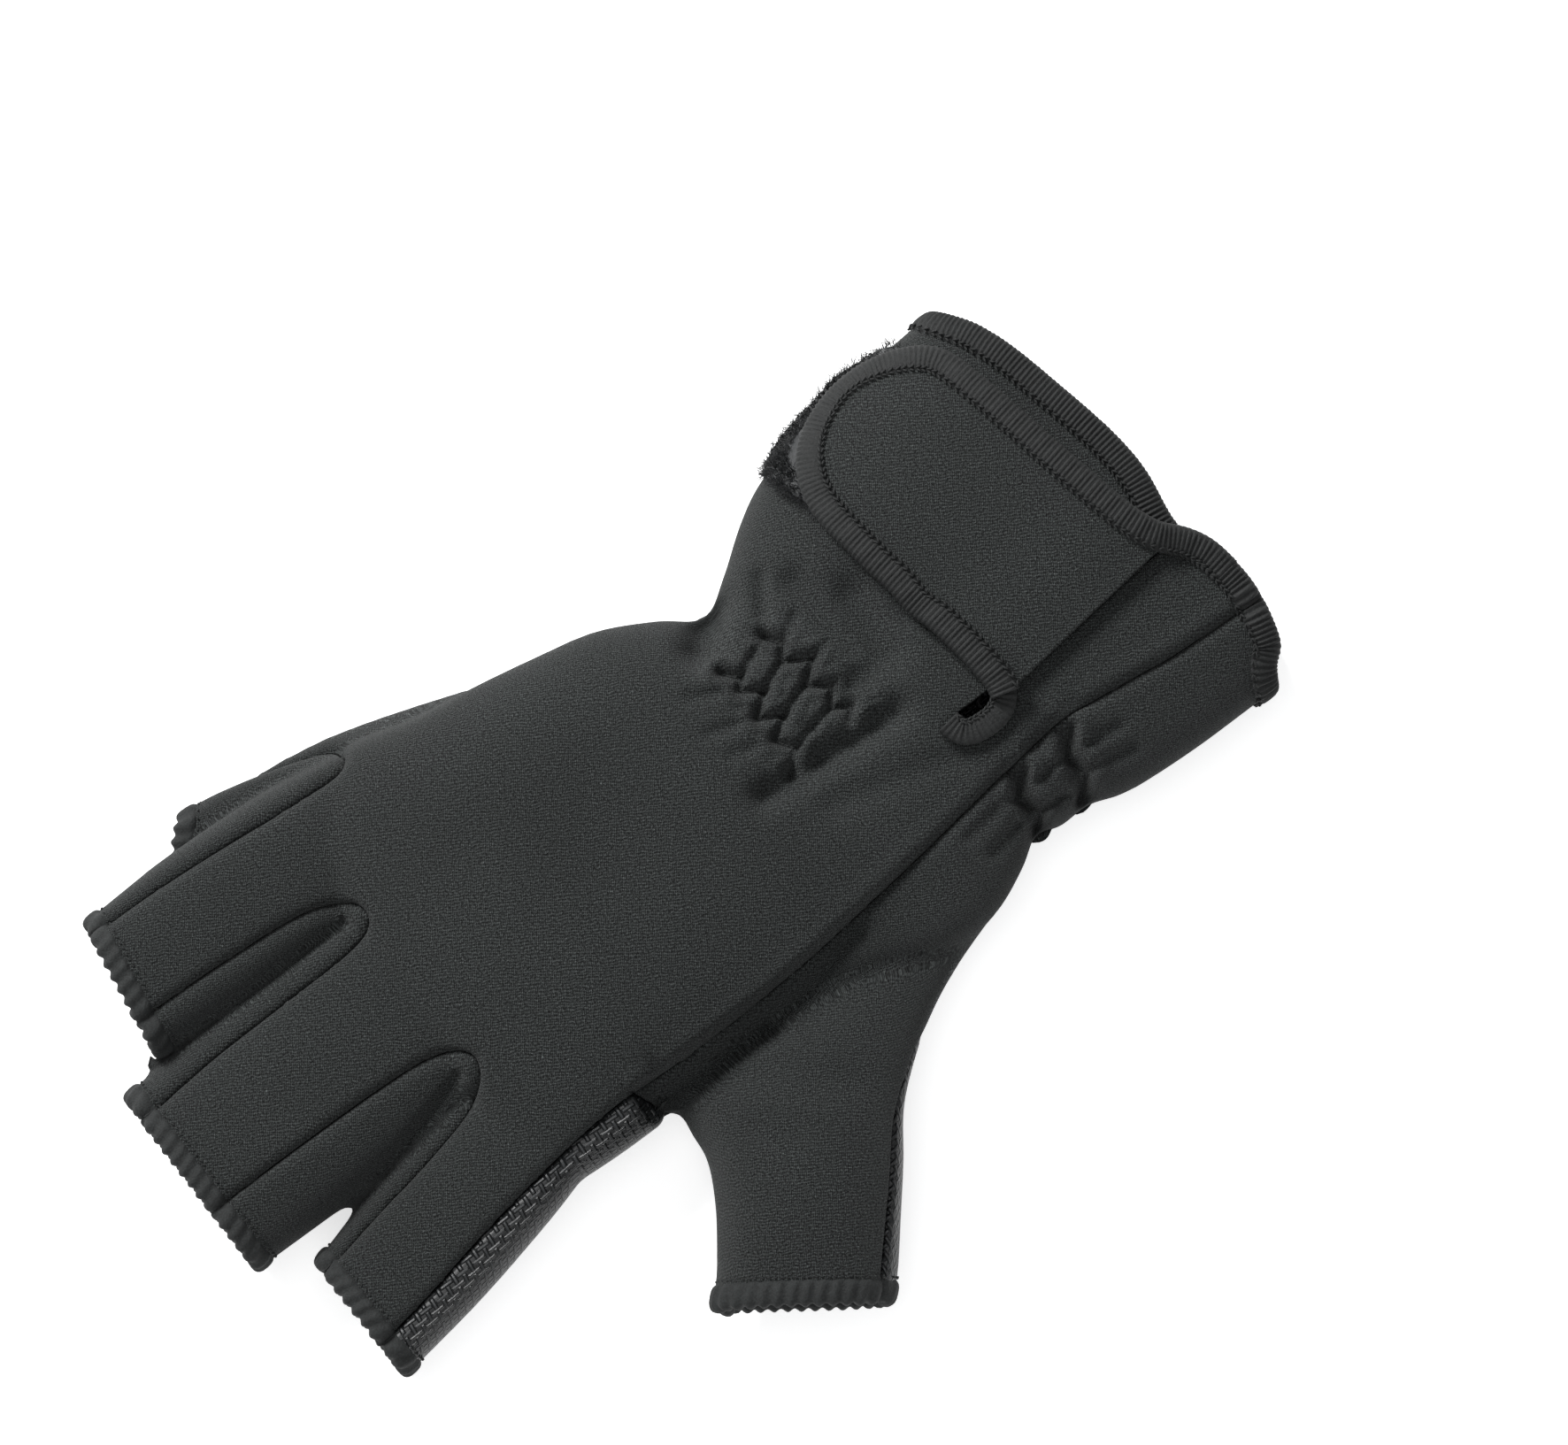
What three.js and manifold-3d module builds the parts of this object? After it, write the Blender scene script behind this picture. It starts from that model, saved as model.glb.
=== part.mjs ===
// Half-finger neoprene glove for the right hand, lying palm down: fingers to +Y, thumb to -X, back up.
import * as THREE from 'three';
import { mergeVertices } from 'three/addons/utils/BufferGeometryUtils.js';
import Module from 'manifold-3d';

const wasm = await Module();
wasm.setup();

// Driving sizes, in millimetres
const palmWidth = 100; // across the knuckles, side walls included
const backLength = 100; // from the middle of the back to the wrist and to the finger roots, both ways together
const handDepth = 30; // thickness of the hand as it lies
const cuffLength = 61; // from the pinch at the wrist to the bound end
const thumbReach = 100; // from the middle of the back out to the thumb's rim
const wall = 2.4; // neoprene with a knit face on both sides
const seamGap = 0.3; // between two panels at a turned seam
const hemProud = 0.5; // how far a rolled rim stands out from the finger
const tapeWidth = 6; // binding tape
const tapeProud = 0.7; // how far the tape stands out from what it binds
const strapThick = 2.4;
const pileThick = 1.2;
const slitWidth = 2.4;
const slack = 40; // how far a cutting block reaches past the glove

// The four half fingers. root is the middle of the finger's foot, in shares of palmWidth and backLength.
// width is in shares of palmWidth, length, depth, lift, rise and hem are millimetres. lift is the height of the
// finger's middle at its rim, rise how far that is above its foot. lean, roll and rimSlant are degrees.
const fingers = {
  index: { root: [-0.295, 0.57], lean: 13.8, length: 45.8, width: 0.3, depth: 21, lift: 14, rise: 0, roll: 0,
    rimSlant: -9.6, hem: 4 },
  middle: { root: [0.047, 0.58], lean: 5.2, length: 55.7, width: 0.435, depth: 22, lift: 16.5, rise: 2, roll: 0,
    rimSlant: -2.4, hem: 4 },
  ring: { root: [0.395, 0.57], lean: 0.9, length: 46.2, width: 0.296, depth: 18.4, lift: 20, rise: 6, roll: 0,
    rimSlant: -6.6, hem: 4 },
  pinky: { root: [0.465, 0.38], lean: -11, length: 43.1, width: 0.2, depth: 13, lift: 7.6, rise: 0, roll: 34,
    rimSlant: -30, hem: 4 },
};

// Sections along a finger, as shares: along its length, then of its width, depth, rim's slant and rise
const fingerSections = [
  // along, width, depth, slant, rise
  [-0.55, 0.72, 0.80, 0.0, 0.0],
  [-0.22, 0.88, 0.94, 0.0, 0.2],
  [0.03, 0.97, 1.0, 0.0, 0.55],
  [0.3, 1.0, 1.0, 0.1, 0.85],
  [0.6, 1.0, 0.97, 0.4, 1.0],
];
const rimWidth = 0.94; // the finger's width at its rim, as a share
const rimDepth = 0.9;
const hemFlare = 0.01; // how much wider and deeper a finger is where its hem starts
const pastRim = 1.3; // where the seams' cuts end, in shares of the finger's length, past its rim

// Seams along a finger, as shares: along its length, then across from its middle line to its side
const fingerSeams = {
  index: { left: [[pastRim, -0.55], [0.94, -0.55], [0.34, -0.54], [-0.1, -0.62], [-0.42, -0.66]],
    right: [[pastRim, 0.85], [0.9, 0.82], [0.4, 0.72], [0.1, 0.71]] },
  middle: { left: [[pastRim, -0.4], [0.96, -0.41], [0.41, -0.48], [0.13, -0.6]],
    right: [[pastRim, 0.72], [0.92, 0.71], [0.46, 0.67], [0.06, 0.7]] },
  ring: { left: [[pastRim, -0.6], [0.9, -0.59], [0.5, -0.63], [0.15, -0.74]],
    right: [[pastRim, 0.78], [0.9, 0.75], [0.5, 0.72], [0.07, 0.64], [-0.15, 0.63]] },
  pinky: { left: [[pastRim, 0.4], [0.6, 0.35], [0.2, 0.25]] },
};
const gussetCorner = [pastRim, 1.2]; // off the ring finger: the ring gusset's cut closes here, past both rims

// Where the strip of back on each finger runs out under the hand, from its left to its right seam
const stripFeet = {
  index: [[-0.42, 0], [-0.08, 0.95]],
  middle: [[-0.08, -0.95], [-0.08, 0.95]],
  ring: [[-0.08, -0.95], [-0.17, 0]],
};

// The foot of each gusset's U, in shares of palmWidth and backLength
const gussetFeet = {
  indexMiddle: [[-0.165, 0.57], [-0.14, 0.555], [-0.11, 0.555], [-0.095, 0.575]],
  middleRing: [[0.21, 0.575], [0.23, 0.568], [0.255, 0.578]],
  ringPinky: [[0.492, 0.46], [0.505, 0.43], [0.52, 0.423], [0.545, 0.44]],
};

// Sections of the hand from the web between the fingers to the wrist.
// Sides are in shares of palmWidth and backLength, low and high in shares of handDepth.
const handSections = [
  // leftX, leftY, rightX, rightY, low, high
  [-0.40, 0.605, 0.49, 0.605, 0.38, 0.62],
  [-0.415, 0.595, 0.505, 0.59, 0.2, 0.8],
  [-0.425, 0.555, 0.515, 0.55, 0.06, 0.93],
  [-0.43, 0.47, 0.525, 0.46, -0.02, 0.98],
  [-0.43, 0.38, 0.523, 0.38, -0.04, 0.99],
  [-0.425, 0.27, 0.497, 0.27, -0.04, 0.98],
  [-0.415, 0.14, 0.482, 0.14, -0.04, 0.96],
  [-0.405, 0.0, 0.46, 0.0, -0.04, 0.94],
  [-0.41, -0.12, 0.436, -0.12, -0.04, 0.92],
  [-0.445, -0.24, 0.385, -0.23, -0.02, 0.88],
  [-0.475, -0.35, 0.337, -0.31, 0.0, 0.84],
  [-0.462, -0.45, 0.38, -0.385, 0.0, 0.84],
  [-0.42, -0.54, 0.445, -0.47, -0.01, 0.88],
];

// Sections of the cuff: sides in shares of palmWidth, and down from the pinch in shares of cuffLength
const cuffTop = -0.59; // height of the pinch, in shares of backLength
const cuffSections = [
  // leftX, leftDown, rightX, rightDown, low, high
  [-0.383, 0.01, 0.487, -0.08, -0.02, 0.92],
  [-0.398, 0.09, 0.515, 0.06, -0.02, 0.93],
  [-0.394, 0.2, 0.535, 0.21, -0.02, 0.93],
  [-0.417, 0.33, 0.55, 0.36, -0.02, 0.94],
  [-0.424, 0.56, 0.565, 0.54, -0.02, 0.95],
  [-0.42, 0.8, 0.572, 0.7, -0.02, 0.95],
  [-0.41, 1.15, 0.578, 1.1, -0.02, 0.95],
];

// Sections of the thumb from inside the hand to its rim: outer edge, then the edge on the index side.
// Sides are in shares of thumbReach and backLength, low and high in shares of handDepth.
const thumbSections = [
  // outerX, outerY, innerX, innerY, low, high
  [-0.465, -0.43, -0.2, 0.08, 0.1, 0.52],
  [-0.51, -0.31, -0.32, 0.21, 0.06, 0.62],
  [-0.57, -0.2, -0.43, 0.28, 0.03, 0.72],
  [-0.66, -0.09, -0.53, 0.29, 0.02, 0.79],
  [-0.755, -0.02, -0.61, 0.325, 0.02, 0.8],
  [-0.845, 0.05, -0.68, 0.37, 0.04, 0.78],
  [-0.925, 0.113, -0.735, 0.41, 0.06, 0.75],
  [-0.968, 0.158, -0.775, 0.45, 0.07, 0.74],
];

// Creases of the soft shell, seen from above: a valley of some depth and width between two places.
// Places are in shares of palmWidth and backLength, depth in shares of handDepth, width in palmWidth.
const creases = [
  // fromX, fromY, toX, toY, depth, width
  [-0.385, 0.3, -0.385, 0.05, 0.16, 0.035],
  [-0.385, 0.05, -0.345, -0.2, 0.07, 0.03],
  [-0.03, -0.2, -0.04, -0.5, 0.1, 0.03],
  [0.02, -0.285, 0.24, -0.27, 0.09, 0.022],
  [0.02, -0.425, 0.24, -0.375, 0.09, 0.022],
  [0.28, -0.26, 0.34, -0.33, 0.14, 0.04],
  [0.0, -0.53, 0.28, -0.49, 0.09, 0.03],
  [-0.4, -0.595, -0.27, -0.625, 0.12, 0.025],
  [-0.4, -0.71, -0.26, -0.745, 0.12, 0.025],
];

// The panels' cuts run out past the glove in open air, to these shares of palmWidth and backLength
const pastSide = 0.8;
const pastCuff = -2;

// The seam between the back and the thumb panel, from the index's foot to the cuff
const thumbSeam = [
  // x, y in shares of palmWidth and backLength
  [-0.36, 0.35], [-0.357, 0.1], [-0.34, -0.1], [-0.31, -0.3], [-0.278, -0.5],
  [-0.24, -0.75], [-0.25, -0.9], [-0.264, -1.4],
];

// Where each panel's cloth wraps round the hand's edge and ends on its underside, and the cuts' far corners
const backCut = [
  [-0.264, pastCuff], [pastSide, pastCuff], [pastSide, 0.44],
];
const backFront = [
  [0.48, 0.585], [-0.35, 0.585], [-0.38, 0.5],
];
const pinkySide = [
  [0.5, 0.35], [pastSide, 0.3], [pastSide, 1],
];
const backUnderside = [
  [0.56, 0.9], [pastSide, 0.9], [pastSide, pastCuff], [0.47, pastCuff], [0.44, -0.8], [0.37, -0.5],
  [0.27, -0.33], [0.36, -0.1], [0.38, 0.2], [0.42, 0.4], [0.5, 0.6],
];
const thumbCut = [
  [-0.36, 0.4], [-0.44, 0.3], [-0.6, 0.6], [-1, 0.8], [-1.1, 0.4], [-0.95, 0.165], [-0.88, 0.115],
  [-0.8, 0.043], [-0.7, -0.03], [-0.63, -0.1], [-0.66, -0.3], [-pastSide, pastCuff],
];
const thumbUnderside = [
  [-pastSide, -0.4], [-0.38, -0.4], [-0.32, -0.6], [-0.33, pastCuff], [-pastSide, pastCuff],
];

// The bound end of the cuff: x in shares of palmWidth, and down from the pinch in shares of cuffLength
const cuffEnd = [
  [-0.6, 0.9], [-0.41, 0.93], [-0.36, 1.0], [-0.25, 1.03], [-0.15, 1.015], [-0.1, 0.98], [-0.05, 0.93],
  [0.05, 0.95], [0.15, 0.94], [0.3, 0.89], [0.42, 0.84], [0.5, 0.79], [0.58, 0.71], [0.7, 0.6],
];

// The middle line of the strap's tape, from the end of the slit round the strap, in the same shares
const strapTape = [
  [-0.115, -0.03], [-0.148, -0.015], [-0.161, 0.05], [-0.155, 0.125], [-0.125, 0.17], [-0.04, 0.16],
  [0.15, 0.105], [0.355, 0.05], [0.455, 0.115], [0.508, 0.27], [0.514, 0.44], [0.475, 0.59],
  [0.39, 0.645], [0.19, 0.72], [0.02, 0.79], [-0.06, 0.85],
];
const strapFoot = [[-0.075, 0.75], [-0.105, 0.45], [-0.14, 0.24]]; // where the strap is sewn on, upwards
const slitLine = [[-0.125, -0.01], [-0.122, 0.1], [-0.095, 0.45], [-0.068, 0.8], [-0.07, 1.4]];
const pileOutline = [
  [0.1, 0.1], [0.35, 0.0], [0.47, -0.035], [0.52, -0.005], [0.55, 0.1], [0.568, 0.24],
  [0.583, 0.34], [0.58, 0.44], [0.56, 0.54], [0.4, 0.6], [0.12, 0.66],
];

// Materials
function cloth(colour, roughness) {
  return new THREE.MeshStandardMaterial({ color: colour, roughness, metalness: 0 });
}
const jersey = cloth(0x2d3032, 0.9);
const grip = cloth(0x26282a, 0.6);
const overlock = cloth(0x1f2123, 0.85);
const ribTape = cloth(0x191a1c, 0.8);
const pile = cloth(0x141416, 1);

// Places in the plan, from shares
const onBack = ([x, y]) => new THREE.Vector2(x * palmWidth, y * backLength);
const onCuff = ([x, down]) => new THREE.Vector2(x * palmWidth, cuffTop * backLength - down * cuffLength);

// One rib is a section of a tube that stands on the line from its left to its right side
function rib(left, right, low, high, roll = 0) {
  return { left, right, low, high, roll };
}

function handRibs() {
  const upper = handSections.map(([lx, ly, rx, ry, low, high]) =>
    rib(onBack([lx, ly]), onBack([rx, ry]), low * handDepth, high * handDepth));
  const lower = cuffSections.map(([lx, ld, rx, rd, low, high]) =>
    rib(onCuff([lx, ld]), onCuff([rx, rd]), low * handDepth, high * handDepth));
  return [...upper, ...lower].reverse();
}

function thumbRibs() {
  const place = (x, y) => new THREE.Vector2(x * thumbReach, y * backLength);
  return thumbSections.map(([ox, oy, ix, iy, low, high]) =>
    rib(place(ox, oy), place(ix, iy), low * handDepth, high * handDepth));
}

// A point of a finger, from shares along its length and across half its width
function onFinger(finger, along, across) {
  const lean = THREE.MathUtils.degToRad(finger.lean);
  const ahead = new THREE.Vector2(-Math.sin(lean), Math.cos(lean));
  const aside = new THREE.Vector2(Math.cos(lean), Math.sin(lean));
  return onBack(finger.root)
    .addScaledVector(ahead, along * finger.length)
    .addScaledVector(aside, across * finger.width * palmWidth / 2);
}

function fingerRibs(finger) {
  const rim = 1 - finger.hem / finger.length;
  const rims = [[rim, rimWidth + hemFlare, rimDepth + hemFlare, 0.9, 1], [1, rimWidth, rimDepth, 1, 1]];
  return [...fingerSections, ...rims].map(([along, width, depth, slant, rise]) => {
    const turn = THREE.MathUtils.degToRad(finger.rimSlant * slant);
    const middle = onFinger(finger, along, 0);
    const half = onFinger(finger, along, width).sub(middle).rotateAround(new THREE.Vector2(), turn);
    const height = finger.lift - finger.rise * (1 - rise);
    const deep = finger.depth * depth / 2;
    return rib(middle.clone().sub(half), middle.clone().add(half), height - deep, height + deep,
      THREE.MathUtils.degToRad(finger.roll));
  });
}

// A smooth value between rows, through all of them
function through(values, t) {
  const last = values.length - 1;
  const i = Math.min(Math.max(Math.floor(t), 0), last - 1);
  const f = t - i;
  const b = values[i];
  const c = values[i + 1];
  const a = i > 0 ? values[i - 1] : 2 * b - c;
  const d = i + 1 < last ? values[i + 2] : 2 * c - b;
  const bend = (c - a) * f + (2 * a - 5 * b + 4 * c - d) * f * f + (3 * b - 3 * c + d - a) * f * f * f;
  return b + 0.5 * bend;
}

function ribAt(ribs, t) {
  const value = (pick) => through(ribs.map(pick), t);
  return rib(
    new THREE.Vector2(value((r) => r.left.x), value((r) => r.left.y)),
    new THREE.Vector2(value((r) => r.right.x), value((r) => r.right.y)),
    value((r) => r.low), value((r) => r.high), value((r) => r.roll));
}

// How far the back sinks at a place in the plan
function sink(x, y) {
  let depth = 0;
  for (const [fx, fy, tx, ty, deep, width] of creases) {
    const from = onBack([fx, fy]);
    const way = onBack([tx, ty]).sub(from);
    const here = new THREE.Vector2(x, y).sub(from);
    const share = THREE.MathUtils.clamp(here.dot(way) / way.lengthSq(), 0, 1);
    const apart = here.addScaledVector(way, -share).length() / (width * palmWidth);
    depth += deep * handDepth * Math.exp(-apart * apart);
  }
  return depth;
}

// A closed tube over ribs from t0 to t1, drawn in by inset on every side
const squareness = 0.82; // 1 is an ellipse, less is fuller at the corners
function tube(ribs, t0, t1, stations, sides, inset, creased) {
  const geometry = new THREE.CylinderGeometry(1, 1, 1, sides, stations);
  const spot = geometry.attributes.position;
  const fuller = (v) => Math.sign(v) * Math.abs(v) ** squareness;
  for (let i = 0; i < spot.count; i++) {
    const r = ribAt(ribs, t0 + (t1 - t0) * (spot.getY(i) + 0.5));
    const side = fuller(spot.getX(i));
    const up = fuller(spot.getZ(i));
    const middle = r.left.clone().add(r.right).multiplyScalar(0.5);
    const aside = r.right.clone().sub(middle);
    const half = aside.length() - inset;
    aside.normalize();
    const across = side * half * Math.cos(r.roll) - up * ((r.high - r.low) / 2 - inset) * Math.sin(r.roll);
    const raised = side * half * Math.sin(r.roll) + up * ((r.high - r.low) / 2 - inset) * Math.cos(r.roll);
    middle.addScaledVector(aside, across);
    let z = (r.low + r.high) / 2 + raised;
    if (creased && up > 0) z -= sink(middle.x, middle.y) * up;
    spot.setXYZ(i, middle.x, middle.y, Math.max(z, inset, 0));
  }
  return solid(geometry);
}

// A three.js geometry as a solid to join and cut, and back
function solid(geometry) {
  geometry.deleteAttribute('normal');
  geometry.deleteAttribute('uv');
  const merged = mergeVertices(geometry, 1e-5);
  return new wasm.Manifold(new wasm.Mesh({
    numProp: 3,
    vertProperties: new Float32Array(merged.attributes.position.array),
    triVerts: new Uint32Array(merged.index.array),
  }));
}

// The crumbs that a slanting cut leaves beside a panel are trimmed off
function piece(name, body, material) {
  const [main] = body.decompose().sort((a, b) => b.volume() - a.volume());
  const { vertProperties, triVerts } = main.getMesh();
  const geometry = new THREE.BufferGeometry();
  geometry.setAttribute('position', new THREE.BufferAttribute(vertProperties, 3));
  geometry.setIndex(new THREE.BufferAttribute(triVerts, 1));
  const flat = geometry.toNonIndexed();
  flat.computeVertexNormals();
  const mesh = new THREE.Mesh(flat, material);
  mesh.name = name;
  return mesh;
}

// An upright block over an outline in the plan
function block(outline, from = -slack, to = 2 * slack) {
  const shape = new THREE.Shape(outline);
  const geometry = new THREE.ExtrudeGeometry(shape, { depth: to - from, bevelEnabled: false });
  geometry.translate(0, 0, from);
  return solid(geometry);
}

// The outline of a band of some width along a line in the plan
function band(line, width, steps) {
  const curve = new THREE.SplineCurve(line);
  const sides = [[], []];
  for (let i = 0; i <= steps; i++) {
    const at = curve.getPoint(i / steps);
    const along = curve.getTangent(i / steps);
    const aside = new THREE.Vector2(-along.y, along.x).multiplyScalar(width / 2);
    sides[0].push(at.clone().add(aside));
    sides[1].unshift(at.clone().sub(aside));
  }
  return [...sides[0], ...sides[1]];
}

const joined = (solids) => solids.reduce((all, one) => all.add(one));

// The hollow skin: every tube's outside less every tube's inside
const hand = handRibs();
const thumb = thumbRibs();
const tubes = Object.fromEntries(Object.entries(fingers).map(([name, f]) => [name, fingerRibs(f)]));
const handStations = 22;
const handSides = 26;
const fingerStations = 6;
const fingerSides = 16;

function handTube(inset, past = 0) {
  return tube(hand, -past, hand.length - 1, handStations, handSides, inset, true);
}
function fingerTube(ribs, inset, past) {
  return tube(ribs, 0, ribs.length - 2 + past, fingerStations, fingerSides, inset, false);
}
const fingerAndThumb = [...Object.values(tubes), thumb];
const outside = joined([handTube(0), ...fingerAndThumb.map((ribs) => fingerTube(ribs, 0, 0))]);
const inside = joined([handTube(wall, 0.5), ...fingerAndThumb.map((ribs) => fingerTube(ribs, wall, 0.5))]);

// Cuts through the skin
const cuffLine = cuffEnd.map(onCuff);
function aboveCuffEnd(raise) {
  const edge = cuffLine.map((p) => new THREE.Vector2(p.x, p.y + raise));
  return block([...edge, new THREE.Vector2(2 * palmWidth, 2 * backLength),
    new THREE.Vector2(-2 * palmWidth, 2 * backLength)]);
}
const slit = block(band(slitLine.map(onCuff), slitWidth, 12), 0.4 * handDepth); // the back's layer only
const skin = outside.subtract(inside).intersect(aboveCuffEnd(tapeWidth + seamGap)).subtract(slit);

// Regions of the panels, each an upright block over the panel's outline. wider grows it at its seams.
function seam(name, side) {
  return fingerSeams[name][side].map(([along, across]) => onFinger(fingers[name], along, across));
}
function grown(outline, wider) {
  const n = outline.length;
  const turn = Math.sign(THREE.ShapeUtils.area(outline));
  const outward = (from, to) => new THREE.Vector2(to.y - from.y, from.x - to.x).normalize().multiplyScalar(turn);
  return outline.map((p, i) => {
    const before = outward(outline[(i + n - 1) % n], p);
    const after = outward(p, outline[(i + 1) % n]);
    const mitre = wider / Math.max(1 + before.dot(after), 0.3);
    return p.clone().addScaledVector(before.add(after), mitre);
  });
}
const region = (outline, wider, from, to) => block(grown(outline, wider), from, to);

const feet = Object.fromEntries(Object.entries(gussetFeet).map(([name, rows]) => [name, rows.map(onBack)]));
const splitHeight = 0.42 * handDepth; // between the upper and the under side of the hand
const pinkySplit = 0.1 * handDepth;
const lapHeight = 1; // how far the upper and the lower part of one panel's cut overlap
const seamLine = new THREE.SplineCurve(thumbSeam.map(onBack)).getPoints(18);

function gussetIndexMiddle(wider) {
  const outline = [...seam('index', 'right'), ...feet.indexMiddle, ...seam('middle', 'left').reverse()];
  return region(outline, wider);
}
function gussetMiddleRing(wider) {
  const outline = [...seam('middle', 'right'), ...feet.middleRing, ...seam('ring', 'left').reverse()];
  return region(outline, wider);
}
function gussetRingPinky(wider) {
  const outline = [...seam('ring', 'right'), ...feet.ringPinky, ...seam('pinky', 'left').reverse(),
    onFinger(fingers.ring, ...gussetCorner)];
  return region(outline, wider, fingers.pinky.lift);
}

function backRegion(wider) {
  const handPart = [...seamLine, ...backCut.map(onBack), ...feet.ringPinky.toReversed(), ...backFront.map(onBack)];
  const strips = ['index', 'middle', 'ring'].map((name) => {
    const finger = fingers[name];
    const foot = stripFeet[name].map(([along, across]) => onFinger(finger, along, across));
    const outline = [...seam(name, 'left'), ...foot, ...seam(name, 'right').reverse()];
    return region(outline, wider, finger.lift);
  });
  const pinkyPart = [...seam('pinky', 'left'), ...feet.ringPinky.toReversed(), ...pinkySide.map(onBack)];
  return joined([region(handPart, wider, splitHeight), ...strips, region(pinkyPart, wider, pinkySplit),
    region(backUnderside.map(onBack), wider, -slack, splitHeight + lapHeight)]);
}
function thumbRegion(wider) {
  const upper = [...seamLine.toReversed(), ...thumbCut.map(onBack)];
  return joined([region(upper, wider, splitHeight),
    region(thumbUnderside.map(onBack), wider, -slack, splitHeight + lapHeight)]);
}

const tight = -seamGap / 2;
const loose = seamGap / 2;
const gussets = [gussetIndexMiddle, gussetMiddleRing, gussetRingPinky];
const looseGussets = joined(gussets.map((make) => make(loose)));
const back = skin.intersect(backRegion(tight)).subtract(looseGussets).subtract(thumbRegion(loose));
const thumbBack = skin.intersect(thumbRegion(tight));
const palm = skin.subtract(looseGussets).subtract(backRegion(loose)).subtract(thumbRegion(loose));

// Rolled rims of the half fingers
function hem(ribs) {
  const last = ribs.length - 1;
  const length = ribs[last].left.distanceTo(ribs[last - 1].left);
  const start = last - 1 + seamGap / length;
  const outer = tube(ribs, start, last, 1, fingerSides, -hemProud, false);
  return outer.subtract(tube(ribs, last - 1.2, last + 0.2, 1, fingerSides, wall, false));
}

// Layers on the cuff, between two heights above its cloth
function layer(outline, from, to) {
  return handTube(-to).subtract(handTube(-from)).intersect(block(outline, splitHeight));
}
const strapFrom = pileThick + 2 * seamGap;
const tape = new THREE.SplineCurve(strapTape.map(onCuff));
const hookPoints = 4; // the first steps of the tape's line go round the end of the slit
const hookEnd = hookPoints / (strapTape.length - 1);
const tapeSteps = 40;
function tapeBand(from, to, width) {
  const steps = Math.ceil(tapeSteps * (to - from));
  const part = Array.from({ length: steps + 1 }, (_, i) => tape.getPoint(from + (to - from) * i / steps));
  return band(part, width, steps);
}
function strapOutline() {
  const edges = tapeBand(hookEnd, 1, tapeWidth + 2 * seamGap);
  const inner = edges.slice(edges.length / 2);
  return [...strapFoot.map(onCuff), ...inner.reverse()];
}

const cuffTape = handTube(-tapeProud).subtract(handTube(wall + tapeProud, 0.5))
  .intersect(aboveCuffEnd(0)).subtract(aboveCuffEnd(tapeWidth)).subtract(slit);
const strap = layer(strapOutline(), strapFrom, strapFrom + strapThick);
const hookOutline = tapeBand(0, hookEnd, tapeWidth);
const slitTape = layer(hookOutline, seamGap, seamGap + strapThick);
const strapTapeBody = layer(tapeBand(hookEnd, 1, tapeWidth), strapFrom, strapFrom + strapThick + tapeProud)
  .subtract(region(hookOutline, seamGap));

const glove = new THREE.Group();
const panels = [
  piece('back_panel', back, jersey),
  piece('thumb_panel', thumbBack, jersey),
  piece('palm_panel', palm, grip),
  piece('gusset_index_middle', skin.intersect(gussetIndexMiddle(tight)), jersey),
  piece('gusset_middle_ring', skin.intersect(gussetMiddleRing(tight)), jersey),
  piece('gusset_ring_pinky', skin.intersect(gussetRingPinky(tight)), jersey),
  ...Object.entries(tubes).map(([name, ribs]) => piece(`hem_${name}`, hem(ribs), overlock)),
  piece('hem_thumb', hem(thumb), overlock),
  piece('cuff_binding', cuffTape, ribTape),
  piece('strap', strap, jersey),
  piece('strap_binding', strapTapeBody, ribTape),
  piece('slit_binding', slitTape, ribTape),
  piece('loop_patch', layer(pileOutline.map(onCuff), seamGap, seamGap + pileThick), pile),
];
glove.add(...panels);

// The origin is the middle of the glove's box, on the surface that it lies on
const bounds = new THREE.Box3().setFromObject(glove);
const centre = bounds.getCenter(new THREE.Vector3());
glove.position.set(-centre.x, -centre.y, -bounds.min.z);

export default glove;
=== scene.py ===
"""A half-finger neoprene glove for the right hand, lying palm down on a pale floor."""
import math

import bmesh
import bpy
import numpy as np
from mathutils import Matrix, Vector
from mathutils.bvhtree import BVHTree


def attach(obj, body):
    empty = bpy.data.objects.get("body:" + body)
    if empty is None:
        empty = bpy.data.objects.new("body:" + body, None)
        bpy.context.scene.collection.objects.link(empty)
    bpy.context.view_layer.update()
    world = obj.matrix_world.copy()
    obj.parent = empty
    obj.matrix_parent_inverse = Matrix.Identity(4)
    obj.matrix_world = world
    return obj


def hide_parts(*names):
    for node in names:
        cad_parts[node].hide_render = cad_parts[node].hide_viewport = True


bl_info = {
    "name": "Half-finger Glove",
    "version": (1, 0, 0),
    "blender": (4, 5, 0),
    "location": "3D View > Sidebar > Glove",
    "description": "Builds a neoprene half-finger glove panel by panel round its packed frame",
    "category": "Object",
}

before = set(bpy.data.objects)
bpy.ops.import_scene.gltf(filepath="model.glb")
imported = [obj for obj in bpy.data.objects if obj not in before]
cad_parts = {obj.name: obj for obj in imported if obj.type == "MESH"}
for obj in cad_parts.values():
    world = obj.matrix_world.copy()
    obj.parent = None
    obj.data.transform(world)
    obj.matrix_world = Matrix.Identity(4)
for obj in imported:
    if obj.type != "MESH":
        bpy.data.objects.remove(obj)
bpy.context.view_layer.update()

# The plan is in millimetres: x towards the little finger, y towards the fingertips, z up.
MM = 0.001
PLAN_MIDDLE = np.array([-17.664, -3.668, 0.0])  # the plan's point over the frame's origin
PALM_WIDTH = 100.0
BACK_LENGTH = 100.0
HAND_DEPTH = 30.0
CUFF_LENGTH = 61.0
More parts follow.
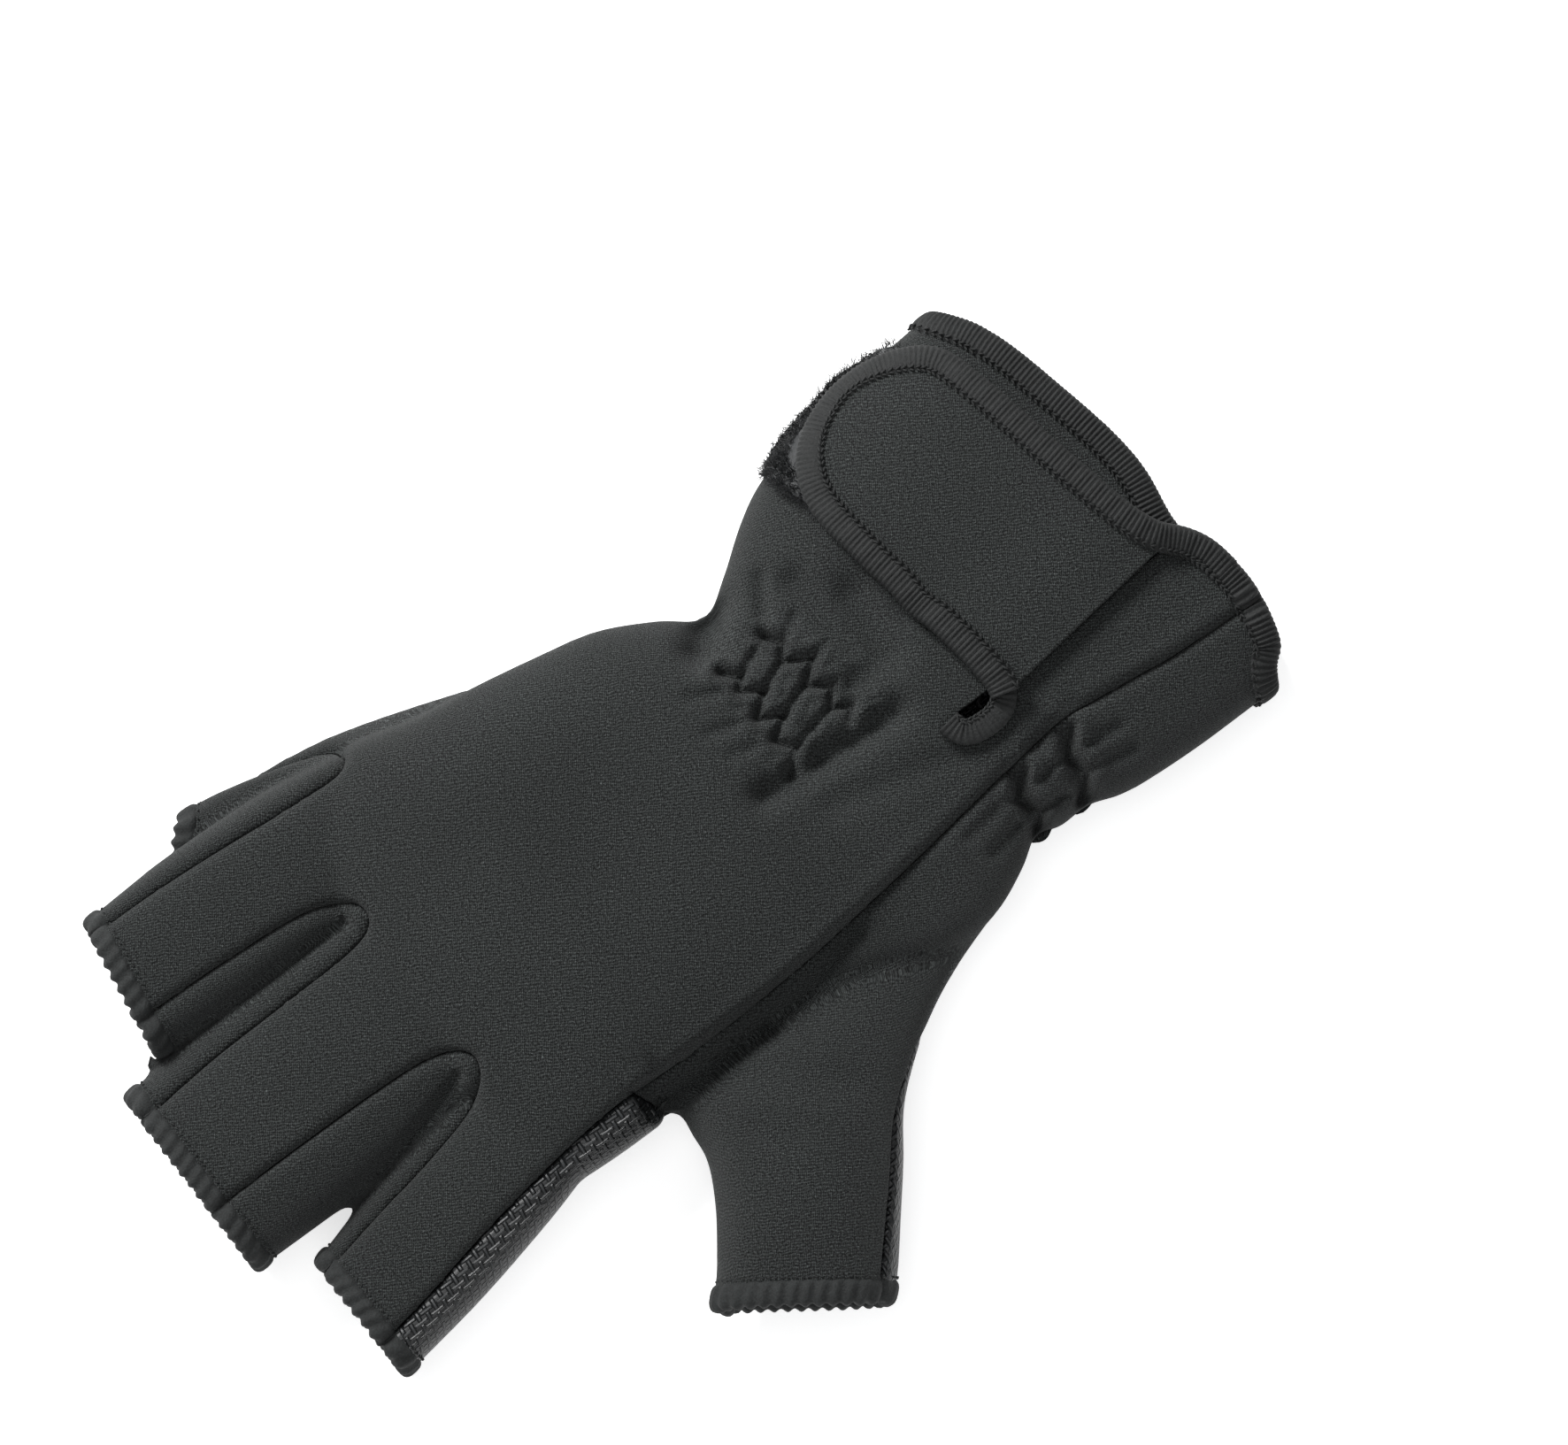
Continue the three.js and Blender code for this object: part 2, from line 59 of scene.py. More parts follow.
CUFF_TOP = -0.59  # height of the pinch at the wrist, in shares of BACK_LENGTH
SQUARENESS = 0.82  # 1 is an ellipse, less is fuller at the corners

# The half fingers: root in shares of the palm and the back, angles in degrees, the rest in millimetres
FINGERS = {
    "index": dict(root=(-0.295, 0.57), lean=13.8, length=45.8, width=30, depth=21, lift=14, rise=0, roll=0,
                  slant=-9.6, hem=4),
    "middle": dict(root=(0.047, 0.58), lean=5.2, length=55.7, width=45, depth=22, lift=16.5, rise=2, roll=0,
                   slant=-2.4, hem=4),
    "ring": dict(root=(0.388, 0.57), lean=0.9, length=46.2, width=31.6, depth=18.4, lift=20, rise=6, roll=0,
                 slant=-6.6, hem=4),
    "pinky": dict(root=(0.465, 0.38), lean=-11, length=43.1, width=20, depth=13, lift=7.6, rise=0, roll=34,
                  slant=-30, hem=4),
}

# Sections along a finger, as shares: along it, then of its width, depth, slant of the rim and rise
FINGER_SECTIONS = [
    (-0.55, 0.72, 0.80, 0.0, 0.0),
    (-0.22, 0.88, 0.94, 0.0, 0.2),
    (0.03, 0.97, 1.0, 0.0, 0.55),
    (0.3, 1.0, 1.0, 0.1, 0.85),
    (0.6, 1.0, 0.97, 0.4, 1.0),
    (0.92, 0.95, 0.91, 0.9, 1.0),
    (1.0, 0.94, 0.90, 1.0, 1.0),
]

# Sections of the hand, from its front to the wrist: left x and y, right x and y, low, high
HAND_SECTIONS = [
    (-0.40, 0.605, 0.49, 0.605, 0.38, 0.62),
    (-0.415, 0.595, 0.505, 0.59, 0.2, 0.8),
    (-0.425, 0.555, 0.515, 0.55, 0.06, 0.93),
    (-0.43, 0.47, 0.525, 0.46, -0.02, 0.98),
    (-0.43, 0.38, 0.523, 0.38, -0.04, 0.99),
    (-0.425, 0.27, 0.497, 0.27, -0.04, 0.98),
    (-0.415, 0.14, 0.482, 0.14, -0.04, 0.96),
    (-0.405, 0.0, 0.46, 0.0, -0.04, 0.94),
    (-0.41, -0.12, 0.436, -0.12, -0.04, 0.92),
    (-0.445, -0.24, 0.385, -0.23, -0.02, 0.88),
    (-0.475, -0.35, 0.337, -0.31, 0.0, 0.84),
    (-0.462, -0.45, 0.38, -0.385, 0.0, 0.84),
    (-0.42, -0.54, 0.445, -0.47, -0.01, 0.88),
]

# Sections of the cuff: left x and way down from the pinch, right x and way down, low, high
CUFF_SECTIONS = [
    (-0.383, 0.01, 0.487, -0.08, -0.02, 0.92),
    (-0.398, 0.09, 0.515, 0.06, -0.02, 0.93),
    (-0.394, 0.2, 0.535, 0.21, -0.02, 0.93),
    (-0.417, 0.33, 0.55, 0.36, -0.02, 0.94),
    (-0.424, 0.56, 0.565, 0.54, -0.02, 0.95),
    (-0.42, 0.8, 0.572, 0.7, -0.02, 0.95),
    (-0.41, 1.15, 0.578, 1.1, -0.02, 0.95),
]

# Sections of the thumb, from inside the hand to its rim: outer x and y, inner x and y, low, high
THUMB_SECTIONS = [
    (-0.465, -0.43, -0.2, 0.08, 0.1, 0.52),
    (-0.51, -0.31, -0.32, 0.21, 0.06, 0.62),
    (-0.57, -0.2, -0.43, 0.28, 0.03, 0.72),
    (-0.66, -0.09, -0.53, 0.29, 0.02, 0.79),
    (-0.755, -0.02, -0.61, 0.325, 0.02, 0.8),
    (-0.845, 0.05, -0.68, 0.37, 0.04, 0.78),
    (-0.925, 0.113, -0.735, 0.41, 0.06, 0.75),
    (-0.968, 0.158, -0.775, 0.45, 0.07, 0.74),
]

# The U of each gusset in the plan, from the rim of one finger round its foot to the rim of the next
GUSSETS = {
    "index_middle": [(-31.5, 116), (-28, 99), (-25, 85), (-23.5, 77), (-21.5, 69), (-20, 64), (-18, 59.5),
                     (-16, 56.8), (-14, 55.6), (-12.3, 55.4), (-10.2, 56.8), (-8.5, 59.5), (-7.5, 64),
                     (-7.2, 72), (-7.2, 80), (-7.5, 95), (-8, 110.5), (-8.6, 128)],
    "middle_ring": [(14.2, 128), (15.3, 110.5), (16, 105), (17, 95), (17.5, 85), (18, 75), (18.5, 66),
                    (19.5, 60), (21, 57.5), (23, 56.8), (25.2, 57.6), (27, 60), (28.5, 64), (29.3, 70),
                    (29.7, 80), (30, 90), (30, 100.5), (30, 118)],
    "ring_pinky": [(50.2, 118), (50, 101), (50, 90), (49.7, 80), (49.3, 70), (48.8, 60), (48.7, 50),
                   (49, 46), (50, 43.5), (51.8, 42.4), (54, 43.2), (56, 47), (58, 53), (60.5, 62),
                   (63, 72), (64.5, 82), (66, 96)],
}

# The open end of the cuff in the plan
CUFF_END = [(-60, -112), (-41, -115.5), (-36, -119.5), (-25, -121.5), (-15, -120.5), (-10, -118.5),
            (-5, -115.7), (5, -116.7), (15, -116.2), (30, -113), (42, -110), (50, -107),
            (57.5, -102.5), (70, -96)]

# The slit under the strap
SLIT = [(-12.3, -60), (-12.2, -65), (-11, -76), (-9.3, -92), (-7.2, -108), (-7, -140)]
SLIT_HALF = 1.2
SKIN_SMOOTHING = 7  # rounds of smoothing over the joined masses

# Where each mass of the glove has its half height, for telling upper from under side
HALF_HEIGHTS = {"hand": 13.5, "thumb": 12.3}

# Edges that a panel wraps round, each with how far up its seam lies, measured over the edge from
# half height: x, y, up
THUMB_EDGES = [
    [(-110, 26, 9), (-95.5, 13.7, 9), (-90, 9.3, 9), (-80, 1.3, 8.5), (-70, -5.7, 7), (-62, -13, 3),
     (-55, -22.5, -6), (-50, -33, -14), (-46, -45, -18), (-42, -54, -19), (-38.1, -59, -20),
     (-39.5, -71, -21), (-42.3, -92.8, -21), (-42, -106, -21), (-40, -135, -21)],
    [(-90, 58, -3), (-75.5, 42.3, -3), (-65, 35, -3), (-55, 29.8, -3), (-48, 28.5, -3), (-44.5, 31, -3),
     (-43.7, 36, -3), (-44.5, 50, -3)],
]

PINKY_EDGES = [
    [(64, 92, -15), (61.5, 71, -15), (58.5, 60, -15), (56.3, 48, -17), (53, 42, -20), (50.5, 33, -22),
     (48.8, 22, -23), (46, 0, -23), (42, -18, -23), (33.5, -30, -22), (38, -38, -22),
     (48, -53, -22), (53, -74, -22), (56.5, -95, -22), (57.5, -125, -22)],
]

# The back's seam on the thumb's side, from the index's rim to the cuff
LEFT_SEAM = [(-51, 118), (-47, 97), (-45, 87), (-43, 79), (-41, 70), (-39.5, 62), (-38.3, 55), (-36.9, 45),
             (-36.1, 36), (-36, 28), (-36, 20), (-35.7, 10), (-35, 0), (-34, -10), (-32.5, -20), (-31, -30),
             (-27.8, -50), (-25.1, -67.6), (-24, -75.2), (-24.4, -80.6), (-25.5, -92.8), (-26.4, -104),
             (-26.4, -135)]

# The web between the thumb and the index, where the thumb panel meets the grip strip of the index
WEB = [(-74, 62), (-56, 40), (-49.5, 32.5), (-46.5, 30.4), (-43.5, 30.3), (-40, 31.6), (-36, 33.5), (-28, 38)]

FIELD_NAMES = ("wrap_thumb", "wrap_pinky", "left_seam", "web", "index_middle", "middle_ring", "ring_pinky",
               "past", "cuff_end", "slit", "over")

PANELS = ["gone", "palm_panel", "back_panel", "thumb_panel", "gusset_index_middle", "gusset_middle_ring",
          "gusset_ring_pinky"]
HEM_BACK = 1.2  # how far the cloth stops short of a rim, inside its hem
CUFF_BACK = 2.0

# The middle line of the strap's tape in the plan, from the end of the slit round the strap
STRAP_TAPE = [(-11.5, -57.2), (-14.8, -58.1), (-16.1, -62.1), (-15.5, -66.6), (-12.5, -69.4), (-4, -68.8),
              (15, -65.4), (35.5, -62.1), (45.5, -66), (50.8, -75.5), (51.4, -85.8), (47.5, -95),
              (39, -98.3), (19, -102.9), (2, -107.2), (-5, -110.4), (-8.6, -114.2), (-13, -117),
              (-18.5, -118.2)]
HOOK_POINTS = 5  # the first of them go round the end of the slit

# The strap's upper and lower edge, from its foot to its tip
STRAP_TOP = [(-13.4, -72.4), (-4, -68.8), (15, -65.4), (35.5, -62.1), (45.5, -66), (50.2, -74), (51.3, -81)]
STRAP_LOW = [(-7.6, -110.6), (2, -107.2), (19, -102.9), (39, -98.3), (47.5, -95), (50.8, -88), (51.3, -81)]

# The loop pile that shows past the strap
PILE_OUTLINE = [(10, -65.1), (35, -59.3), (44, -56.9), (49.5, -56.6), (52.5, -59.5), (55, -65.1),
                (56.8, -73.6), (58.2, -79.8), (57.8, -85.8), (56, -91.9), (40, -95.6), (12, -99.3)]
STRAP_LIFT = 1.5  # from the cuff's cloth to the underside of the strap
STRAP_THICK = 2.4
PILE_HAIRS = 5200

# The zigzag elastic in the wrist
ZIGZAGS = [
    [(-2, -26.5), (1.5, -30.5), (5, -28), (8, -32), (10.5, -27.5), (14, -31.5), (17, -28), (19, -29.5),
     (22, -27)],
    [(0, -42), (2, -44), (4, -40.5), (7.5, -43), (10.5, -39), (14, -43), (17, -38), (20, -40), (23, -38)],
    [(-38.5, -59.5), (-35.5, -62.9), (-31, -59.7), (-27.3, -64.2)],
    [(-38, -69.7), (-34.5, -74.5), (-30, -72.3), (-26, -76.5)],
]

# Valleys pressed into the upper side, between two places of the plan: x, y, x, y, depth, width
CREASES = [
    (-38.5, 30, -38.5, 5, 3.6, 3.0), (-38.5, 5, -34.5, -20, 1.6, 2.6), (-3, -20, -4, -50, 2.6, 3.0),
    (2, -28.5, 24, -27, 1.6, 2.2), (2, -42.5, 24, -37.5, 1.6, 2.2), (28, -26, 34, -33, 3.6, 3.6),
    (10, -51, 28, -49, 1.6, 3.0), (19, -56, 7, -55, 2.4, 4.5), (7, -55, 4, -44, 1.8, 3.5),
    (-40, -59.5, -27, -62.5, 2.6, 2.2), (-40, -71, -26, -74.5, 2.6, 2.2),
    (1.5, -30.5, 4, -40.5, 1.3, 1.1), (8, -32, 10.5, -39, 1.5, 1.1), (14, -31.5, 17, -38, 1.5, 1.1),
    (19, -29.5, 23, -38, 1.3, 1.1), (5, -28, 7, -19, 0.6, 1.3), (10.5, -27.5, 13, -18, 0.7, 1.3),
    (17, -28, 21, -19, 0.7, 1.4), (2, -44, -1, -51, 0.8, 1.3), (7.5, -43, 7, -51, 0.9, 1.3),
    (14, -43, 15, -50, 0.9, 1.3), (20, -40, 24, -48, 0.9, 1.4), (23, -38, 33, -44, 1.0, 1.6),
    (-35.5, -62.9, -36, -70, 1.2, 1.2), (-31, -59.7, -30, -72, 1.0, 1.2), (-34.5, -74.5, -36, -84, 0.9, 1.5),
    (-30, -72.3, -31, -84, 0.8, 1.5), (-35, -59, -37, -50, 0.8, 1.5), (-30, -60, -32, -48, 0.7, 1.6),
    (-26, -64, -22, -80, 0.7, 2.0), (-12, -30, -18, -55, 0.7, 3.0), (25, -50, 10, -62, 1.0, 3.5),
    (-43, 30, -34, 27, 1.0, 2.5), (-47, 27, -60, 14, 0.5, 4.0), (-40, 20, -58, -2, 0.5, 4.0),
    (-13.3, 59.3, -20, 82, 0.8, 1.0), (23.3, 60.5, 22.7, 104, 0.8, 1.0),
]

# Gathers of the grip panel at the wrist, on the under side, in the same columns
GATHERS = [
    (x, -48 - 4 * math.sin(x), x + 3 * math.sin(2.3 * x), -68 + 5 * math.cos(1.7 * x), 0.9, 1.3)
    for x in range(-32, 36, 4)
]

# The photo's frame: its middle in the plan and the width that it takes in, in millimetres
VIEW_MIDDLE = (7.8, -32.0, 14.0)
VIEW_WIDTH = 305.5
VIEW_AZIMUTH = 235.0
VIEW_ELEVATION = 83.0
LENS = 180.0
SENSOR = 36.0


def wrap_field(xy, over, edges):
    """How far a point is up past the seam that runs round an edge, measured over that edge."""
    nearest = np.full(len(xy), 1e9)
    wrap = np.zeros(len(xy))
    for edge in edges:
        line = smooth_line(edge, 3)
        d, share, _ = distance_to_line(xy, line)
        value = over + np.sign(over) * d - np.interp(share, np.arange(len(line)), line[:, 2])
        closer = d < nearest
        nearest = np.where(closer, d, nearest)
        wrap = np.where(closer, value, wrap)
    return wrap


def side_of(xy, line):
    """Signed distance to an open line in the plan, positive on its left."""
    d, _, side = distance_to_line(xy, smooth_line(line, 4))
    return d * side


def keep_fields(bm):
    """Keeps the fields on the skin's points, so that each cut carries them along."""
    values = seam_fields(points_of(bm))
    for name in FIELD_NAMES:
        layer = bm.verts.layers.float.new(name)
        for vert, value in zip(bm.verts, values[name].tolist()):
            vert[layer] = value


def kept_fields(bm):
    layers = {name: bm.verts.layers.float[name] for name in FIELD_NAMES}
    return {name: np.array([v[layer] for v in bm.verts]) for name, layer in layers.items()}


def panels_of(f):
    """The panel at each point, as a place in PANELS."""
    label = np.where((f["wrap_pinky"] > 0) & (f["left_seam"] < 0), 2, 1)
    thumb = (f["wrap_thumb"] > 0) & (f["left_seam"] > 0) & (f["web"] > 0)
    label = np.where(thumb, 3, label)
    for n, name in ((4, "index_middle"), (5, "middle_ring"), (6, "ring_pinky")):
        label = np.where(f[name] > 0, n, label)
    gone = (f["past"] > -HEM_BACK) | (f["cuff_end"] < CUFF_BACK) | (f["slit"] < 0)
    return np.where(gone, 0, label)


def refine_seams(bm, reach):
    """Halves the edges near a seam, so that the cloth can roll in there."""
    near = seam_distance(kept_fields(bm)) < reach
    xy = points_of(bm)[:, :2]
    for line in ZIGZAGS:
        near |= distance_to_line(xy, smooth_line(line, 3))[0] < 2 * reach
    bm.verts.index_update()
    edges = [e for e in bm.edges if near[e.verts[0].index] and near[e.verts[1].index]]
    bmesh.ops.subdivide_edges(bm, edges=edges, cuts=1, use_grid_fill=True)
    bm.verts.index_update()
    bm.normal_update()


class GloveSizes(bpy.types.PropertyGroup):
    skin_step: bpy.props.FloatProperty(
        name="Skin step", description="Size of the faces that the skin starts from",
        default=0.00093, min=0.0005, max=0.003, unit="LENGTH")
    wall: bpy.props.FloatProperty(
        name="Wall", description="Thickness of the neoprene",
        default=0.0022, min=0.001, max=0.004, unit="LENGTH")
    seam_radius: bpy.props.FloatProperty(
        name="Seam shoulder", description="How far from a turned seam the cloth starts to roll in",
        default=0.0028, min=0.0005, max=0.005, unit="LENGTH")
    seam_depth: bpy.props.FloatProperty(
        name="Seam depth", description="How deep the cloth rolls in at a turned seam",
        default=0.0021, min=0.0, max=0.004, unit="LENGTH")
    tape_width: bpy.props.FloatProperty(
        name="Tape width", description="Width of the ribbed binding tape",
        default=0.006, min=0.003, max=0.012, unit="LENGTH")


class GloveColours(bpy.types.PropertyGroup):
    jersey: bpy.props.FloatVectorProperty(
        name="Jersey", description="Knit face of the neoprene", subtype="COLOR", size=3,
        default=(0.0285, 0.0315, 0.031), min=0, max=1)
    grip: bpy.props.FloatVectorProperty(
        name="Grip", description="Embossed palm", subtype="COLOR", size=3,
        default=(0.017, 0.0185, 0.0195), min=0, max=1)
    thread: bpy.props.FloatVectorProperty(
        name="Thread", description="Overlock and stitches", subtype="COLOR", size=3,
        default=(0.0125, 0.014, 0.014), min=0, max=1)
    tape: bpy.props.FloatVectorProperty(
        name="Tape", description="Ribbed binding tape", subtype="COLOR", size=3,
        default=(0.0085, 0.0095, 0.0095), min=0, max=1)


def through(rows, t):
    """Smooth values between rows, through all of them."""
    rows = np.asarray(rows, float)
    t = np.asarray(t, float)
    padded = np.vstack([2 * rows[0] - rows[1], rows, 2 * rows[-1] - rows[-2]])
    i = np.clip(np.floor(t).astype(int), 0, len(rows) - 2)
    f = (t - i)[..., None]
    a, b, c, d = padded[i], padded[i + 1], padded[i + 2], padded[i + 3]
    bend = (c - a) * f + (2 * a - 5 * b + 4 * c - d) * f ** 2 + (3 * b - 3 * c + d - a) * f ** 3
    return b + 0.5 * bend


def smooth_line(points, steps=6):
    """A smooth line through points, with some steps between each two."""
    points = np.asarray(points, float)
    return through(points, np.linspace(0, len(points) - 1, (len(points) - 1) * steps + 1))


def finger_axes(finger):
    """The foot of a finger, its way ahead and its way aside, in the plan."""
    lean = math.radians(finger["lean"])
    foot = np.array([finger["root"][0] * PALM_WIDTH, finger["root"][1] * BACK_LENGTH])
    return foot, np.array([-math.sin(lean), math.cos(lean)]), np.array([math.cos(lean), math.sin(lean)])


def finger_ribs(finger):
    """The ribs of a finger's tube: left x and y, right x and y, low, high, roll."""
    foot, ahead, aside = finger_axes(finger)
    ribs = []
    for along, width, depth, slant, rise in FINGER_SECTIONS:
        turn = math.radians(finger["slant"] * slant)
        half = aside * width * finger["width"] / 2
        half = np.array([half[0] * math.cos(turn) - half[1] * math.sin(turn),
                         half[0] * math.sin(turn) + half[1] * math.cos(turn)])
        middle = foot + ahead * along * finger["length"]
        height = finger["lift"] - finger["rise"] * (1 - rise)
        deep = finger["depth"] * depth / 2
        ribs.append((*(middle - half), *(middle + half), height - deep, height + deep,
                     math.radians(finger["roll"])))
    return np.array(ribs)


def hand_ribs():
    """The ribs of the hand and the cuff, from the cuff's end to the web between the fingers."""
    scale = np.array([PALM_WIDTH, BACK_LENGTH, PALM_WIDTH, BACK_LENGTH, HAND_DEPTH, HAND_DEPTH])
    upper = np.array(HAND_SECTIONS) * scale
    lower = np.array(CUFF_SECTIONS)
    lower[:, [1, 3]] = CUFF_TOP * BACK_LENGTH - lower[:, [1, 3]] * CUFF_LENGTH
    lower[:, [0, 2]] *= PALM_WIDTH
    lower[:, [4, 5]] *= HAND_DEPTH
    ribs = np.vstack([upper, lower])[::-1]
    return np.hstack([ribs, np.zeros((len(ribs), 1))])


def thumb_ribs():
    scale = np.array([PALM_WIDTH, BACK_LENGTH, PALM_WIDTH, BACK_LENGTH, HAND_DEPTH, HAND_DEPTH])
    ribs = np.array(THUMB_SECTIONS) * scale
    return np.hstack([ribs, np.zeros((len(ribs), 1))])


def tube_point(ribs, t, angle, inset=0.0):
    """Points of a tube, from places along its ribs and angles round them."""
    r = through(ribs, t)
    middle = (r[..., 0:2] + r[..., 2:4]) / 2
    aside = r[..., 2:4] - middle
    half = np.linalg.norm(aside, axis=-1)
    aside = aside / half[..., None]
    fuller = lambda v: np.sign(v) * np.abs(v) ** SQUARENESS
    side = fuller(np.sin(angle)) * (half - inset)
    up = fuller(np.cos(angle)) * ((r[..., 5] - r[..., 4]) / 2 - inset)
    across = side * np.cos(r[..., 6]) - up * np.sin(r[..., 6])
    raised = side * np.sin(r[..., 6]) + up * np.cos(r[..., 6])
    xy = middle + aside * across[..., None]
    z = np.maximum((r[..., 4] + r[..., 5]) / 2 + raised, inset)
    return np.concatenate([xy, z[..., None]], axis=-1)


def to_frame(points):
    """Plan millimetres to metres in the frame."""
    return (np.asarray(points, float) - PLAN_MIDDLE) * MM


def to_plan(points):
    return np.asarray(points, float) / MM + PLAN_MIDDLE


def add_tube(bm, ribs, t0, t1, stations, sides):
    """A closed tube, rolled up from a grid."""
    made = bmesh.ops.create_grid(bm, x_segments=stations, y_segments=sides, size=0.5)["verts"]
    flat = np.array([v.co for v in made])
    spots = to_frame(tube_point(ribs, t0 + (t1 - t0) * (flat[:, 0] + 0.5), flat[:, 1] * 2 * math.pi))
    for vert, spot in zip(made, spots):
        vert.co = spot
    bmesh.ops.remove_doubles(bm, verts=made, dist=1e-6)
    ends = [e for e in bm.edges if e.is_boundary]
    bmesh.ops.holes_fill(bm, edges=ends, sides=0)


def mesh_object(name, bm):
    mesh = bpy.data.meshes.new(name)
    bm.to_mesh(mesh)
    bm.free()
    obj = bpy.data.objects.new(name, mesh)
    bpy.context.scene.collection.objects.link(obj)
    return obj


def baked(obj):
    """The object's mesh with its modifiers applied, as a bmesh. The object goes."""
    bpy.context.view_layer.update()
    evaluated = obj.evaluated_get(bpy.context.evaluated_depsgraph_get())
    mesh = bpy.data.meshes.new_from_object(evaluated)
    bm = bmesh.new()
    bm.from_mesh(mesh)
    bpy.data.meshes.remove(mesh)
    bpy.data.objects.remove(obj)
    return bm


def points_of(bm):
    return to_plan([v.co for v in bm.verts])


def distance_to_line(xy, line):
    """Distance in the plan to a line, the line's share there, and which side, positive to its left."""
    best = np.full(len(xy), 1e9)
    share = np.zeros(len(xy))
    side = np.zeros(len(xy))
    for i in range(len(line) - 1):
        a, b = line[i, :2], line[i + 1, :2]
        way = b - a
        f = np.clip(((xy - a) @ way) / (way @ way), 0, 1)
        off = xy - (a + f[:, None] * way)
        d = np.hypot(off[:, 0], off[:, 1])
        closer = d < best
        best = np.where(closer, d, best)
        share = np.where(closer, i + f, share)
        side = np.where(closer, np.sign(way[0] * off[:, 1] - way[1] * off[:, 0]), side)
    return best, share, side


def inside_outline(xy, line):
    """Signed distance in the plan to a closed outline, positive inside."""
    closed = np.vstack([line, line[:1]])
    best, _, _ = distance_to_line(xy, closed)
    odd = np.zeros(len(xy), bool)
    for i in range(len(closed) - 1):
        (ax, ay), (bx, by) = closed[i, :2], closed[i + 1, :2]
        if ay == by:
            continue
        crosses = (ay > xy[:, 1]) != (by > xy[:, 1])
        odd ^= crosses & (xy[:, 0] < ax + (xy[:, 1] - ay) * (bx - ax) / (by - ay))
    return np.where(odd, best, -best)


def smoothstep(low, high, value):
    f = np.clip((value - low) / (high - low), 0, 1)
    return f * f * (3 - 2 * f)


def owners(p):
    """Which mass of the glove a point is on, its half height there, and how far it is past that one's rim."""
    level = np.full(len(p), 1.0)
    half_height = np.full(len(p), HALF_HEIGHTS["hand"])
    past = np.full(len(p), -99.0)
    owner = np.zeros(len(p), int)
    tubes = list(FINGERS.items()) + [("thumb", None)]
    for n, (name, finger) in enumerate(tubes, start=1):
        ribs = finger_ribs(finger) if finger else thumb_ribs()
        middles = (ribs[:, 0:2] + ribs[:, 2:4]) / 2
        line = through(np.hstack([middles, ribs]), np.linspace(0, len(ribs) - 1, 60))
        _, share, _ = distance_to_line(p[:, :2], line)
        t = share / 59 * (len(ribs) - 1)
        r = through(ribs, t)
        middle = (r[:, 0:2] + r[:, 2:4]) / 2
        aside = r[:, 2:4] - middle
        half = np.linalg.norm(aside, axis=1)
        across = ((p[:, :2] - middle) * aside).sum(1) / half
        deep = (r[:, 5] - r[:, 4]) / 2
        height = (r[:, 4] + r[:, 5]) / 2
        up = p[:, 2] - height
        side = across * np.cos(r[:, 6]) + up * np.sin(r[:, 6])
        lift = -across * np.sin(r[:, 6]) + up * np.cos(r[:, 6])
        near = np.abs(side / half) ** 2.4 + np.abs(lift / deep) ** 2.4
        foot = 3.0 if finger else 2.0
        if name == "pinky":
            near = near - 0.6 * smoothstep(51.0, 54.5, p[:, 0])
        near = np.where(t > foot - 0.9, near, 9)
        last, hemmed = ribs[-1], ribs[-2]
        rim_middle = (last[0:2] + last[2:4]) / 2
        rim_way = last[2:4] - last[0:2]
        rim_ahead = np.array([-rim_way[1], rim_way[0]]) / np.linalg.norm(rim_way)
        beyond = (p[:, :2] - rim_middle) @ rim_ahead
        mine = near < level + (0.35 if name == "pinky" else 0.25)
        mine &= near < np.where(owner > 0, level, 9)
        blend = smoothstep(foot - 0.9, foot + 0.2, t)
        own_height = HALF_HEIGHTS["hand"] + (height - HALF_HEIGHTS["hand"]) * blend
        level = np.where(mine, near, level)
        half_height = np.where(mine, own_height, half_height)
        past = np.where(mine, beyond, past)
        owner = np.where(mine, n, owner)
    return owner, half_height, past


def seam_fields(p):
    """Signed distances that tell the panels apart, in millimetres."""
    xy = p[:, :2]
    owner, half_height, past = owners(p)
    over = p[:, 2] - half_height
    fields = {name: inside_outline(xy, smooth_line(line, 4)) for name, line in GUSSETS.items()}
    # The little finger lies under the ring finger's side: its gusset takes only what faces up there
    low = (owner == 4) | ((owner == 0) & (xy[:, 0] > 47))
    ring = fields["ring_pinky"]
    fields["ring_pinky"] = np.where(low, np.minimum(ring, (p[:, 2] - 8.5) * 0.8), ring)
    fields["wrap_thumb"] = wrap_field(xy, over, THUMB_EDGES)
    fields["wrap_pinky"] = wrap_field(xy, over, PINKY_EDGES)
    fields["left_seam"] = -side_of(xy, LEFT_SEAM)
    fields["web"] = -side_of(xy, WEB)
    fields["cuff_end"] = side_of(xy, CUFF_END)
    d, _, _ = distance_to_line(xy, smooth_line(SLIT, 4))
    fields["slit"] = np.where(over > 0, d - SLIT_HALF, 99)
    fields["past"] = past
    fields["over"] = over
    return fields


